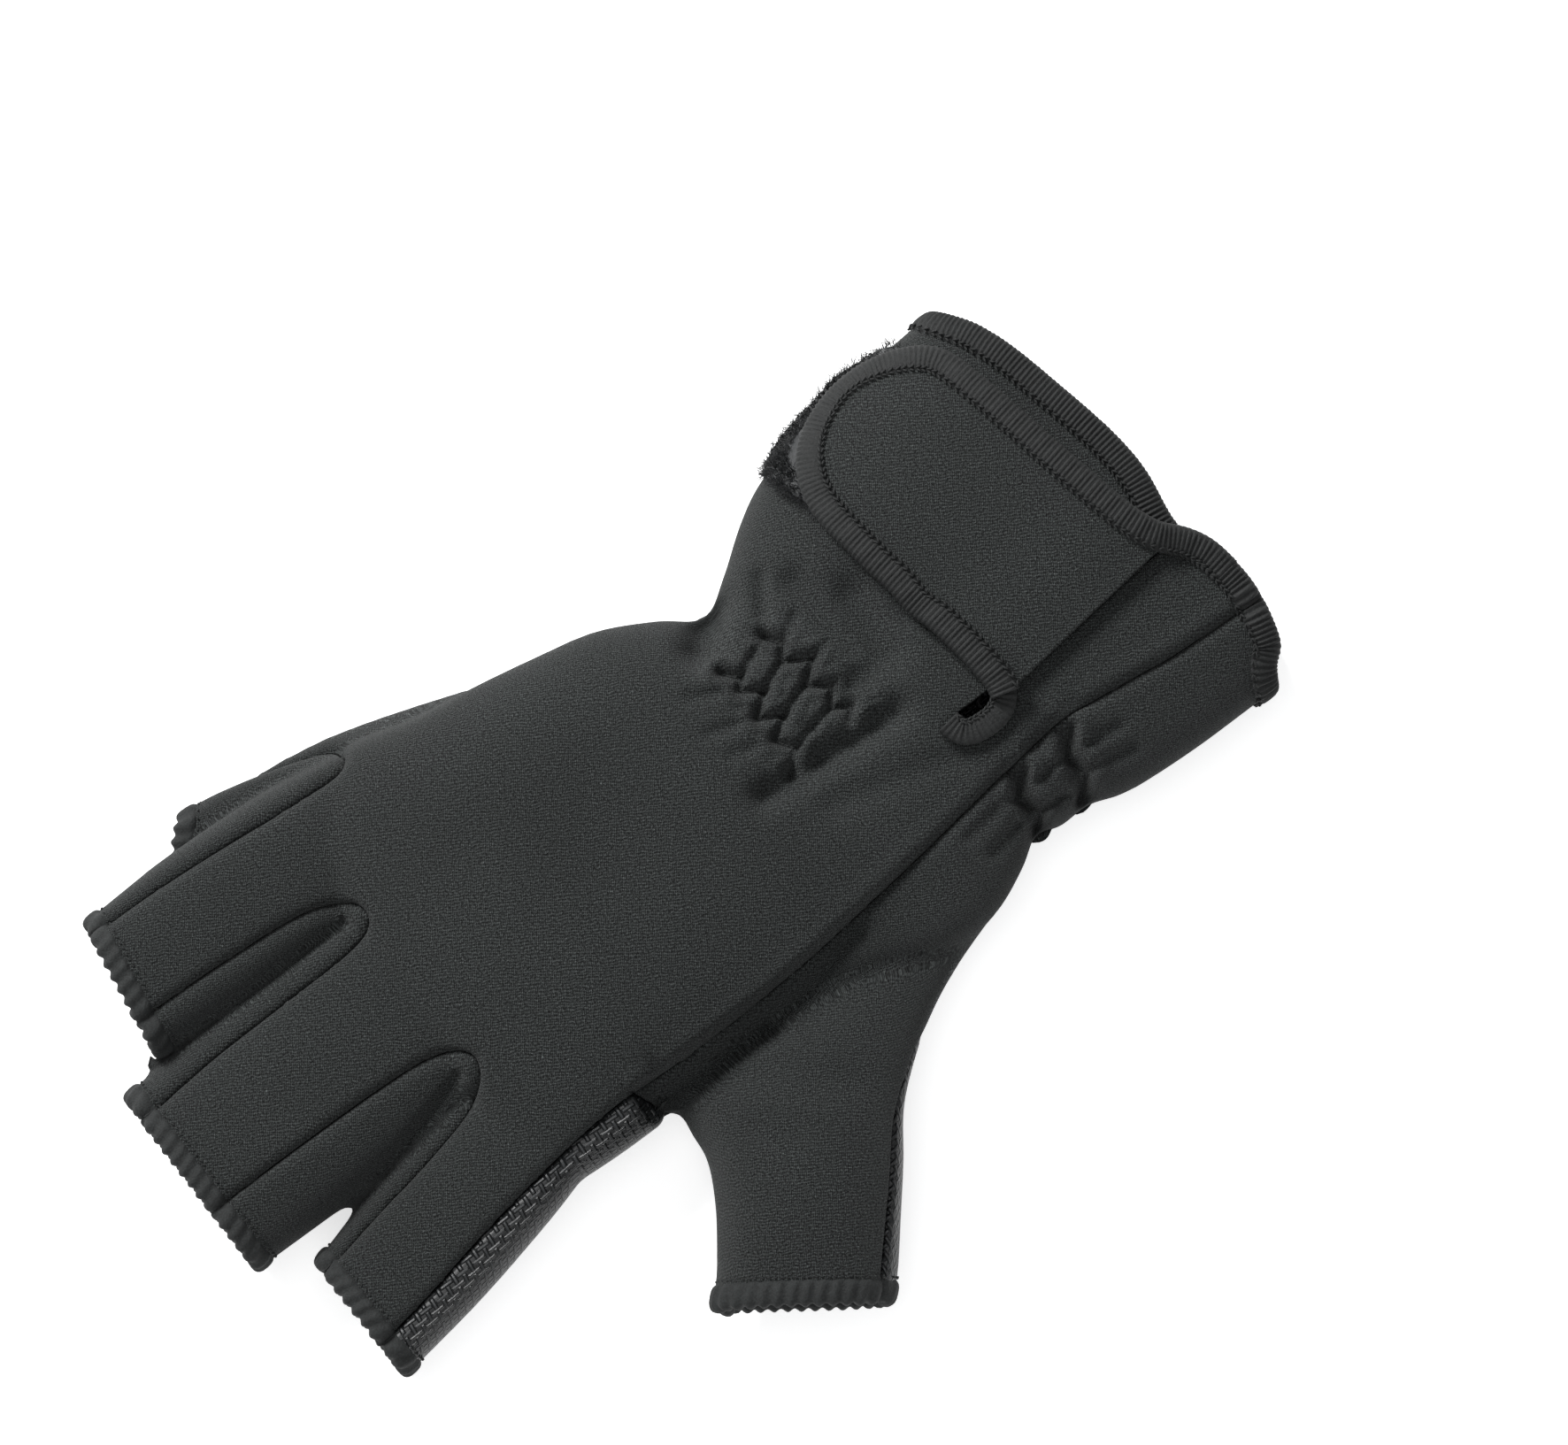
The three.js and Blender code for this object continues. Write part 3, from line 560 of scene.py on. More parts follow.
def cut_along(bm, name, level=0.0, where=None):
    """Cuts the faces along the line where a field crosses a level."""
    f = kept_fields(bm)
    value = f[name] - level
    usable = np.ones(len(value), bool) if where is None else where(f)
    snap = 0.12
    edges, verts = list(bm.edges), list(bm.verts)
    bm.verts.index_update()
    ends = np.array([(e.verts[0].index, e.verts[1].index) for e in edges])
    a, b = value[ends[:, 0]], value[ends[:, 1]]
    crosses = (a * b < 0) & (np.abs(a) >= snap) & (np.abs(b) >= snap)
    crosses &= usable[ends[:, 0]] & usable[ends[:, 1]]
    crosses &= (np.abs(a) + np.abs(b)) < 6
    line_verts = [verts[i] for i in np.nonzero((np.abs(value) < snap) & usable)[0]]
    for i in np.nonzero(crosses)[0]:
        share = abs(a[i]) / (abs(a[i]) + abs(b[i]))
        _, vert = bmesh.utils.edge_split(edges[i], verts[ends[i, 0]], share)
        line_verts.append(vert)
    bmesh.ops.connect_verts(bm, verts=line_verts)
    bm.verts.index_update()


def seam_distance(f):
    """How far each point is from the nearest turned seam."""
    far = 99.0
    top = f["over"] > 0
    left, web = np.abs(f["left_seam"]), np.abs(f["web"])
    thumb_side = f["left_seam"] > -1
    d = np.where(top, left, far)
    d = np.minimum(d, np.where(thumb_side & (f["over"] > -4), web, far))
    d = np.minimum(d, np.where((thumb_side | ~top) & (f["web"] > -1), np.abs(f["wrap_thumb"]), far))
    d = np.minimum(d, np.abs(f["wrap_pinky"]))
    nearest = np.full(len(d), far)
    inside = np.zeros(len(d), bool)
    for name in GUSSETS:
        nearest = np.minimum(nearest, np.abs(f[name]))
        inside |= f[name] > 0
    return np.where(inside, nearest, np.minimum(d, nearest))


def build_skin(sizes):
    """The smooth outer skin of the whole glove, before it is cut into panels."""
    bm = bmesh.new()
    add_tube(bm, hand_ribs(), -0.15, len(HAND_SECTIONS) + len(CUFF_SECTIONS) - 1, 150, 120)
    for finger in FINGERS.values():
        add_tube(bm, finger_ribs(finger), 0, len(FINGER_SECTIONS) - 1 + 0.5, 60, 72)
    add_tube(bm, thumb_ribs(), 0, len(THUMB_SECTIONS) - 1 + 0.6, 60, 80)
    whole = mesh_object("skin_masses", bm)
    remesh = whole.modifiers.new("one skin", "REMESH")
    remesh.mode = "VOXEL"
    remesh.voxel_size = sizes.skin_step
    bm = baked(whole)
    for _ in range(SKIN_SMOOTHING):
        bmesh.ops.smooth_vert(bm, verts=bm.verts, factor=0.5,
                              use_axis_x=True, use_axis_y=True, use_axis_z=True)
    return bm


def cut_skin(bm):
    """Cuts the skin along its seams and its open ends."""
    cut_along(bm, "past", -HEM_BACK)
    cut_along(bm, "cuff_end", CUFF_BACK)
    for name in GUSSETS:
        cut_along(bm, name)
    cut_along(bm, "left_seam", 0.0, lambda f: f["over"] > 0)
    cut_along(bm, "web", 0.0, lambda f: (f["over"] > -5) & (f["left_seam"] > -1))
    cut_along(bm, "wrap_thumb", 0.0, lambda f: (f["web"] > -2) & ((f["left_seam"] > -1) | (f["over"] < 0)))
    cut_along(bm, "wrap_pinky")
    cut_along(bm, "slit", 0.0, lambda f: f["over"] > 0)


def lay_coordinates(p, normals, half_height):
    """Where each point lies on the flat cloth: the plan, plus the drop over the edge along the way out."""
    drop = np.abs(half_height - p[:, 2])
    drop = np.clip(11.0 - drop, 0, 11.0)
    return p[:, :2] + normals[:, :2] * drop[:, None] * 1.1


def add_lay(mesh, values):
    layer = mesh.attributes.new("lay", "FLOAT_VECTOR", "POINT")
    flat = np.zeros((len(values), 3), np.float32)
    flat[:, :values.shape[1]] = values
    layer.data.foreach_set("vector", flat.ravel())


def relief(p, f):
    """How far each point is pressed towards the middle of the glove, in millimetres down."""
    xy = p[:, :2]
    sink = pressed(xy, CREASES)
    for line in ZIGZAGS:
        d, _, _ = distance_to_line(xy, np.array(line, float))
        sink += 2.2 * np.exp(-(d / 0.8) ** 1.5) - 0.9 * np.exp(-((d - 2.4) / 1.3) ** 2)
    # The back lies over the thumb panel as a raised lip
    lip = f["left_seam"]
    low = smoothstep(-2.0, 1.0, lip) * smoothstep(16.0, 3.0, lip) * (xy[:, 1] < 34) * (xy[:, 1] > -50)
    sink += 1.5 * low * smoothstep(-50, -30, xy[:, 1])
    sink -= 0.5 * np.exp(-((lip + 2.6) / 1.8) ** 2) * (xy[:, 1] < 34)
    # Soft unevenness of a worn back
    x, y = xy[:, 0], xy[:, 1]
    sink += 0.35 * np.sin(x / 9.0 + 1.1 * np.sin(y / 21.0)) * np.sin(y / 13.0 + 0.7)
    up = smoothstep(0.5, 6.0, f["over"])
    down = smoothstep(-0.5, -6.0, f["over"])
    return sink * up - np.minimum(pressed(xy, GATHERS), 1.6) * down


def shaped_skin(sizes):
    """The skin cut, refined at its seams and pressed in along them, with each face's panel."""
    bm = build_skin(sizes)
    keep_fields(bm)
    cut_skin(bm)
    radius, depth = sizes.seam_radius / MM, sizes.seam_depth / MM
    refine_seams(bm, radius + 0.6)
    labels = face_labels(bm)
    p = points_of(bm)
    f = kept_fields(bm)
    normals = np.array([v.normal for v in bm.verts])
    share = 1 - np.clip(seam_distance(f) / radius, 0, 1)
    roll = depth * (1 - np.sqrt(np.clip(1 - share ** 2, 0, 1)))
    moved = p - normals * roll[:, None]
    moved[:, 2] -= relief(p, f)
    lay = lay_coordinates(p, normals, p[:, 2] - f["over"])
    for vert, spot in zip(bm.verts, to_frame(moved)):
        vert.co = spot
    return bm, lay, labels


def face_labels(bm):
    """The panel of each face, from the fields at its middle."""
    return panels_of(seam_fields(to_plan([face.calc_center_median() for face in bm.faces])))


def drop_crumbs(bm):
    """Takes off the small loose scraps that a slanting cut leaves."""
    left = set(bm.faces)
    islands = []
    while left:
        island, ahead = set(), [left.pop()]
        while ahead:
            face = ahead.pop()
            island.add(face)
            near = {other for edge in face.edges for other in edge.link_faces} & left
            left -= near
            ahead.extend(near)
        islands.append(island)
    largest = max(len(island) for island in islands)
    scraps = [face for island in islands if len(island) < 0.08 * largest for face in island]
    bmesh.ops.delete(bm, geom=scraps, context="FACES")


def panel_piece(name, bm, lay, labels):
    """One panel as an object of its own."""
    part = bm.copy()
    part.faces.ensure_lookup_table()
    keep = PANELS.index(name)
    drop = [face for face, label in zip(part.faces, labels) if label != keep]
    tag = part.verts.layers.int.new("source")
    for v in part.verts:
        v[tag] = v.index
    bmesh.ops.delete(part, geom=drop, context="FACES")
    drop_crumbs(part)
    source = np.array([v[tag] for v in part.verts])
    obj = mesh_object(name + "_cloth", part)
    add_lay(obj.data, lay[source])
    obj.data.shade_smooth()
    return obj


def finish_piece(obj, slot, *nodes):
    obj.data.materials.clear()
    obj.data.materials.append(looks[slot])
    if nodes:
        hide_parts(*nodes)
    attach(obj, "root")
    return obj


def plain_material(name, colour, roughness):
    material = bpy.data.materials.new(name)
    material.use_nodes = True
    shader = material.node_tree.nodes["Principled BSDF"]
    shader.inputs["Base Color"].default_value = (*colour, 1)
    shader.inputs["Roughness"].default_value = roughness
    return material


def open_edges(bm, labels):
    """The edges where the cloth ends, as pairs of places of points."""
    out = []
    for edge in bm.edges:
        sides = [labels[face.index] == 0 for face in edge.link_faces]
        if len(sides) == 2 and sides[0] != sides[1]:
            out.append((edge.verts[0].index, edge.verts[1].index))
    return out


def chains(pairs):
    """Edges joined end to end: lists of places in order, each with whether it closes."""
    links = {}
    for a, b in pairs:
        links.setdefault(a, []).append(b)
        links.setdefault(b, []).append(a)
    left = set(links)
    runs = []
    while left:
        ends = [v for v in left if len(links[v]) == 1]
        run = [min(ends) if ends else min(left)]
        left.discard(run[0])
        ahead = links[run[0]]
        while ahead:
            run.append(ahead[0])
            left.discard(ahead[0])
            ahead = [v for v in links[run[-1]] if v in left]
        runs.append((run, len(run) > 2 and run[0] in links[run[-1]]))
    return runs


def even_path(points, closed, step, soften=6):
    """The same line with points at even steps, and softened."""
    points = np.asarray(points, float)
    if closed:
        points = np.vstack([points, points[:1]])
    gone = np.concatenate([[0], np.cumsum(np.linalg.norm(np.diff(points[:, :3], axis=0), axis=1))])
    count = max(int(round(gone[-1] / step)), 8)
    at = np.linspace(0, gone[-1], count + 1)
    out = np.stack([np.interp(at, gone, column) for column in points.T], axis=1)
    if closed:
        out = out[:-1]
    for _ in range(soften):
        before, after = np.roll(out, 1, axis=0), np.roll(out, -1, axis=0)
        mixed = (before + 2 * out + after) / 4
        if not closed:
            mixed[0], mixed[-1] = out[0], out[-1]
        out = mixed
    return out


def unit(vectors):
    return vectors / np.maximum(np.linalg.norm(vectors, axis=-1, keepdims=True), 1e-9)


def frames_along(path, normals, closed, outward):
    """Directions at each point of a path: up off the cloth, and ahead towards the outward side."""
    if closed:
        along = np.roll(path, -1, axis=0) - np.roll(path, 1, axis=0)
    else:
        along = np.gradient(path, axis=0)
    along = unit(along)
    up = unit(normals - along * (normals * along).sum(1, keepdims=True))
    ahead = unit(np.cross(along, up))
    turn = np.sign((ahead * outward).sum(1).mean()) or 1.0
    return up, ahead * turn


def lay_layer(bm):
    """The layer that holds where each point lies on the flat cloth."""
    return bm.verts.layers.float_vector.get("lay") or bm.verts.layers.float_vector.new("lay")


def sweep(bm, path, up, ahead, closed, section):
    """A tube along a path. section gives each ring's offsets ahead and up, in millimetres."""
    rings, sides = section.shape[:2]
    spans = rings if closed else rings - 1
    lay = lay_layer(bm)
    made = bmesh.ops.create_grid(bm, x_segments=spans, y_segments=sides, size=0.5)["verts"]
    gone = np.concatenate([[0], np.cumsum(np.linalg.norm(np.diff(path, axis=0), axis=1))])
    flat = np.array([v.co for v in made])
    i = np.rint((flat[:, 0] + 0.5) * spans).astype(int)
    j = np.rint((flat[:, 1] + 0.5) * sides).astype(int)
    ring, side = i % rings, j % sides
    offset = section[ring, side]
    spots = to_frame(path[ring] + ahead[ring] * offset[:, :1] + up[ring] * offset[:, 1:2])
    size = np.linalg.norm(section[:, 1:] - section[:, :-1], axis=2).mean() * sides
    for vert, spot, r, s in zip(made, spots, ring, side):
        vert.co = spot
        vert[lay] = (gone[r], size * s / sides, offset_share(s, sides))
    bmesh.ops.remove_doubles(bm, verts=made, dist=1e-6)
    if not closed:
        loose = [e for e in bm.edges if e.is_boundary]
        bmesh.ops.holes_fill(bm, edges=loose, sides=0)


def offset_share(side, sides):
    return math.cos(2 * math.pi * side / sides)


def rolled_section(path, closed, wide, thick, shift, pitch, ribs, wave, slant=0.3):
    """A rounded section for each point of a path, with ribs across it and a wavy outer side."""
    sides = 20
    turn = np.arange(sides) / sides * 2 * math.pi
    steps = np.linalg.norm(np.diff(path, axis=0, append=path[:1]), axis=1)
    gone = np.concatenate([[0], np.cumsum(steps)[:-1]])
    total = steps.sum() if closed else gone[-1]
    count = max(round(total / pitch), 1)
    phase = 2 * math.pi * count * gone / total
    fuller = lambda v: np.sign(v) * np.abs(v) ** 0.72
    across, raised = fuller(np.cos(turn)), fuller(np.sin(turn))
    rib = 1 + ribs * np.sin(phase[:, None] + slant * across[None, :])
    outer = np.clip(across, 0, 1)[None, :] * wave * np.sin(phase + 0.8)[:, None]
    ahead = shift + across[None, :] * wide / 2 + outer
    up = raised[None, :] * thick / 2 * rib
    return np.stack([ahead, up], axis=2)


def round_section(path, radius, sides=6):
    turn = np.arange(sides) / sides * 2 * math.pi
    one = np.stack([np.cos(turn), np.sin(turn)], axis=1) * radius
    return np.repeat(one[None], len(path), axis=0)


def on_cloth(spots, lift=0.0, soften=0):
    """The points of the skin under places in the plan, with its normals there."""
    points, normals = [], []
    for x, y in np.asarray(spots, float)[:, :2]:
        start = Vector(to_frame((x, y, 60)))
        hit, normal, _, _ = skin["tree"].ray_cast(start, Vector((0, 0, -1)))
        points.append(to_plan(hit) if hit else (x, y, 12.0))
        normals.append(normal if hit else (0, 0, 1))
    points, normals = np.array(points, float), np.array(normals, float)
    for _ in range(soften):
        for values in (points, normals):
            values[1:-1] = (values[:-2] + 2 * values[1:-1] + values[2:]) / 4
    normals = unit(normals)
    return points + normals * lift, normals


def stitches(bm, path, up, ahead, pitch, long, wide, shift, lift, slant=0.0):
    """A row of stitches along a path: small rounded bars, laid a little across it."""
    lay = lay_layer(bm)
    gone = np.concatenate([[0], np.cumsum(np.linalg.norm(np.diff(path, axis=0), axis=1))])
    along = unit(np.gradient(path, axis=0))
    for at in np.arange(pitch / 2, gone[-1], pitch):
        i = min(int(np.searchsorted(gone, at)), len(path) - 1)
        spot = path[i] + ahead[i] * shift + up[i] * lift
        way = unit(along[i] * math.cos(slant) + ahead[i] * math.sin(slant))
        side = np.cross(up[i], way)
        turn = Matrix((way * long / 2 * MM, side * wide / 2 * MM, up[i] * wide / 2 * MM)).transposed()
        made = bmesh.ops.create_uvsphere(bm, u_segments=6, v_segments=4, radius=1.0,
                                         matrix=Matrix.Translation(to_frame(spot)) @ turn.to_4x4())["verts"]
        for vert in made:
            vert[lay] = (at, 0.0, 0.0)


def soft_object(name, bm):
    bmesh.ops.recalc_face_normals(bm, faces=bm.faces)
    obj = mesh_object(name, bm)
    obj.data.shade_smooth()
    return obj


skin = {}


def remember_skin(bm, labels):
    """Keeps the pressed skin's surface and its open edges for the pieces that lie on it."""
    bm.normal_update()
    skin["tree"] = BVHTree.FromBMesh(bm)
    f = kept_fields(bm)
    p = points_of(bm)
    normals = np.array([v.normal for v in bm.verts])
    pairs = open_edges(bm, labels)
    near = {
        "rims": np.abs(f["past"] + HEM_BACK) < 0.4,
        "cuff": np.abs(f["cuff_end"] - CUFF_BACK) < 0.4,
    }
    for kind, mask in near.items():
        mine = [(a, b) for a, b in pairs if mask[a] and mask[b]]
        runs = [(run, closed) for run, closed in chains(mine) if len(run) > 40]
        skin[kind] = [(np.hstack([p[run], normals[run]]), closed) for run, closed in runs]


def rim_of(points):
    """The name of the finger whose rim lies nearest, and the way ahead there."""
    best = None
    for name in (*FINGERS, "thumb"):
        last = finger_ribs(FINGERS[name])[-1] if name in FINGERS else thumb_ribs()[-1]
        middle, way = (last[0:2] + last[2:4]) / 2, last[2:4] - last[0:2]
        apart = np.linalg.norm(points[:, :2].mean(0) - middle)
        if best is None or apart < best[0]:
            best = (apart, name, unit(np.array([-way[1], way[0], 0.0])))
    return best[1], best[2]


def pressed(xy, rows):
    depth = np.zeros(len(xy))
    for ax, ay, bx, by, deep, wide in rows:
        d, _, _ = distance_to_line(xy, np.array([(ax, ay), (bx, by)], float))
        depth = np.maximum(depth, 1.5 * deep * np.exp(-(d / wide) ** 2))
    return depth


def node(tree, kind, inputs=None, **settings):
    """Adds a shader node. inputs are values, or sockets to link from, by name or place."""
    made = tree.nodes.new(kind)
    for name, value in settings.items():
        setattr(made, name, value)
    for key, value in (inputs or {}).items():
        socket = made.inputs[key]
        if isinstance(value, bpy.types.NodeSocket):
            tree.links.new(value, socket)
        else:
            socket.default_value = value
    return made


def maths(tree, operation, *values):
    return node(tree, "ShaderNodeMath", dict(enumerate(values)), operation=operation).outputs[0]


def ranged(tree, value, low, high, to_low, to_high, **settings):
    """A value brought from one range to another."""
    return node(tree, "ShaderNodeMapRange", {"Value": value, "From Min": low, "From Max": high,
                                             "To Min": to_low, "To Max": to_high}, **settings).outputs[0]


def noise(tree, where, scale, detail):
    made = node(tree, "ShaderNodeTexNoise", {"Vector": where, "Scale": scale, "Detail": detail})
    return made.outputs["Fac"]


def new_group(name, inputs, outputs):
    """A node group with sockets given as name and kind."""
    tree = bpy.data.node_groups.new(name, "ShaderNodeTree")
    for label, kind in inputs:
        tree.interface.new_socket(label, in_out="INPUT", socket_type="NodeSocket" + kind)
    for label, kind in outputs:
        tree.interface.new_socket(label, in_out="OUTPUT", socket_type="NodeSocket" + kind)
    return tree, tree.nodes.new("NodeGroupInput").outputs, tree.nodes.new("NodeGroupOutput").inputs


def knit_group():
    """Fine knit: a staggered grid of stitches with salt-and-pepper yarn, painted lighter on the stitch tops
    and darker in the gaps between them as painted shade. Place is in millimetres.
    """
    tree, given, out = new_group("Fine Knit", [("Place", "Vector"), ("Pitch", "Float")],
                                 [("Height", "Float"), ("Tone", "Float")])
    place = node(tree, "ShaderNodeSeparateXYZ", {0: given["Place"]}).outputs
    wobble = node(tree, "ShaderNodeTexNoise", {"Vector": given["Place"], "Scale": 0.35, "Detail": 1.0})
    shift = maths(tree, "MULTIPLY", wobble.outputs["Fac"], 1.4)
    turn = maths(tree, "DIVIDE", 2 * math.pi, given["Pitch"])
    skewed = maths(tree, "ADD", maths(tree, "MULTIPLY_ADD", place[1], 0.5, place[0]), shift)
    wales = maths(tree, "SINE", maths(tree, "MULTIPLY", skewed, turn))
    courses = maths(tree, "SINE", maths(tree, "MULTIPLY", maths(tree, "MULTIPLY", place[1], 1.1), turn))
    height = maths(tree, "MULTIPLY_ADD", maths(tree, "MULTIPLY", wales, courses), 0.5, 0.5)
    grain = node(tree, "ShaderNodeTexNoise", {"Vector": given["Place"], "Scale": 2.3, "Detail": 2.0,
                                              "Roughness": 0.7}).outputs["Fac"]
    salt = noise(tree, given["Place"], 1.6, 2.0)
    salted = ranged(tree, salt, 0.3, 0.7, 0.7, 1.25)
    grained = ranged(tree, grain, 0.35, 0.65, 0.1, 1.7)
    # The stitch height scales the tone, which is painted shade in the gaps between stitches; salt and grain
    # are the yarn's own random tone.
    yarn_and_stitch_shade = maths(tree, "MULTIPLY", maths(tree, "MULTIPLY_ADD", height, 1.7, 0.15), salted)
    tone = maths(tree, "MULTIPLY", yarn_and_stitch_shade, grained)
    tree.links.new(maths(tree, "MULTIPLY", height, grained), out["Height"])
    tree.links.new(tone, out["Tone"])
    return tree


def basket_group():
    """Embossed grip: short bars across and along, each ending against the side of the next."""
    tree, given, out = new_group("Basket Emboss", [("Place", "Vector"), ("Pitch", "Float")],
                                 [("Height", "Float")])
    place = node(tree, "ShaderNodeSeparateXYZ", {0: given["Place"]}).outputs
    u = maths(tree, "DIVIDE", place[0], given["Pitch"])
    v = maths(tree, "DIVIDE", place[1], given["Pitch"])
    bars = []
    for along, across, shift in ((u, v, 0.0), (v, u, 1.0)):
        row = maths(tree, "ROUND", across)
        off = maths(tree, "ABSOLUTE", maths(tree, "SUBTRACT", across, row))
        place_in_row = maths(tree, "SUBTRACT", along, maths(tree, "ADD", row, shift + 1.0))
        cycle = maths(tree, "SUBTRACT", maths(tree, "FLOORED_MODULO", place_in_row, 2.0), 1.0)
        reach = maths(tree, "ABSOLUTE", cycle)
        wide = ranged(tree, off, 0.28, 0.08, 0.0, 1.0, interpolation_type="SMOOTHSTEP")
        long = ranged(tree, reach, 0.86, 0.6, 0.0, 1.0, interpolation_type="SMOOTHSTEP")
        bars.append(maths(tree, "MULTIPLY", wide, long))
    tree.links.new(maths(tree, "MAXIMUM", *bars), out["Height"])
    return tree


def lint_group():
    """Sparse pale specks of lint, as a mask."""
    tree, given, out = new_group("Lint Specks", [("Place", "Vector")], [("Mask", "Float")])
    cells = node(tree, "ShaderNodeTexVoronoi", {"Vector": given["Place"], "Scale": 0.17})
    size = node(tree, "ShaderNodeSeparateColor", {0: cells.outputs["Color"]}).outputs
    reach = maths(tree, "MULTIPLY_ADD", size[0], 0.035, 0.008)
    mask = maths(tree, "LESS_THAN", cells.outputs["Distance"], reach)
    tree.links.new(maths(tree, "MULTIPLY", mask, maths(tree, "GREATER_THAN", size[1], 0.45)), out["Mask"])
    return tree


def group_node(tree, group, **inputs):
    made = tree.nodes.new("ShaderNodeGroup")
    made.node_tree = bpy.data.node_groups[group]
    for name, value in inputs.items():
        if isinstance(value, bpy.types.NodeSocket):
            tree.links.new(value, made.inputs[name])
        else:
            made.inputs[name].default_value = value
    return made.outputs


looks = {}


def cloth_material(name, colour, roughness, build):
    """A material whose colour is scaled by a tone and bumped by a height. build gives both."""
    material = plain_material(name, colour, roughness)
    tree = material.node_tree
    shader = tree.nodes["Principled BSDF"]
    lay = node(tree, "ShaderNodeAttribute", attribute_name="lay").outputs["Vector"]
    where = node(tree, "ShaderNodeTexCoord").outputs["Object"]
    tone, height, depth = build(tree, shader, lay, where)
    scaled = node(tree, "ShaderNodeVectorMath", {0: colour, 1: tone}, operation="MULTIPLY").outputs[0]
    tree.links.new(scaled, shader.inputs["Base Color"])
    bump = node(tree, "ShaderNodeBump", {"Strength": 1.0, "Distance": depth, "Height": height})
    tree.links.new(bump.outputs[0], shader.inputs["Normal"])
    looks[name] = material


def large_tone(tree, where, low, high):
    """Slow variation of tone over the piece."""
    return ranged(tree, noise(tree, where, 32.0, 2.0), 0.3, 0.7, low, high)


def jersey_look(tree, shader, lay, where):
    knit = group_node(tree, "Fine Knit", Place=lay, Pitch=0.7)
    lint = group_node(tree, "Lint Specks", Place=lay)["Mask"]
    tone = maths(tree, "MULTIPLY", knit["Tone"], large_tone(tree, where, 0.9, 1.1))
    shader.inputs["Sheen Weight"].default_value = 0.06
    shader.inputs["Sheen Roughness"].default_value = 0.5
    shader.inputs["Specular IOR Level"].default_value = 0.25
    return maths(tree, "MULTIPLY_ADD", lint, 2.2, tone), knit["Height"], 0.0002


def grip_look(tree, shader, lay, where):
    bars = group_node(tree, "Basket Emboss", Place=lay, Pitch=2.0)["Height"]
    grain = noise(tree, lay, 1.8, 4.0)
    # The raised bars are painted lighter than the ground between them, as a painted highlight on the bars and
    # painted shade in the ground; the grain is the grip's own random tone.
    tone = maths(tree, "MULTIPLY_ADD", bars, 0.75, 0.6)
    tone = maths(tree, "MULTIPLY", tone, maths(tree, "MULTIPLY_ADD", grain, 0.8, 0.6))
    rough = maths(tree, "MULTIPLY_ADD", grain, 0.25, 0.32)
    tree.links.new(rough, shader.inputs["Roughness"])
    height = maths(tree, "MULTIPLY_ADD", grain, 0.06, bars)
    return tone, height, 0.0008


def thread_look(tree, shader, lay, where):
    fine = noise(tree, where, 2600.0, 2.0)
    coarse = noise(tree, where, 900.0, 2.0)
    tone = maths(tree, "MULTIPLY", maths(tree, "MULTIPLY_ADD", fine, 1.8, 0.1),
                 maths(tree, "MULTIPLY_ADD", coarse, 1.2, 0.4))
    return tone, fine, 0.00018


def make_materials(colours):
    knit_group()
    basket_group()
    lint_group()
    cloth_material("jersey", colours.jersey, 0.92, jersey_look)
    cloth_material("grip", colours.grip, 0.45, grip_look)
    cloth_material("overlock", colours.thread, 0.85, thread_look)
    cloth_material("rib_tape", colours.tape, 0.75, thread_look)
    cloth_material("pile", colours.grip, 0.6, thread_look)


class GLOVE_OT_panels(bpy.types.Operator):
    """Cuts the soft skin into its panels and gives each its wall"""
    bl_idname = "glove.panels"
    bl_label = "Panels"

    def execute(self, context):
        sizes, colours = context.scene.glove_sizes, context.scene.glove_colours
        bm, lay, labels = shaped_skin(sizes)
        remember_skin(bm, labels)
        make_materials(colours)
        for name in PANELS[1:]:
            obj = panel_piece(name, bm, lay, labels)
            solidify = obj.modifiers.new("wall", "SOLIDIFY")
            solidify.thickness = sizes.wall
            solidify.offset = -1
            finish_piece(obj, "grip" if name == "palm_panel" else "jersey", name)
        bm.free()
        return {"FINISHED"}


class GLOVE_OT_hems(bpy.types.Operator):
    """Rolls an overlocked rim round the open end of each finger"""
    bl_idname = "glove.hems"
    bl_label = "Finger Hems"

    def execute(self, context):
        for points, closed in skin["rims"]:
            name, outward = rim_of(points)
            wide = 5.2 if name == "thumb" else 4.4
            path = even_path(points, closed, 0.36, 10)
            up, ahead = frames_along(path[:, :3], path[:, 3:], closed, outward)
            path = path[:, :3] - up * 1.1
            section = rolled_section(path, closed, wide, 3.5, HEM_BACK - wide / 2 + 0.3, 2.7, 0.13, 0.35, 1.6)
            bm = bmesh.new()
            sweep(bm, path, up, ahead, closed, section)
            obj = soft_object("hem_" + name + "_rim", bm)
            finish_piece(obj, "overlock", "hem_" + name)
            bm = bmesh.new()
            stitches(bm, path, up, ahead, 1.25, 1.0, 0.42, HEM_BACK - wide, 1.25, 0.5)
            obj = soft_object("stitches_" + name, bm)
            finish_piece(obj, "overlock")
        return {"FINISHED"}


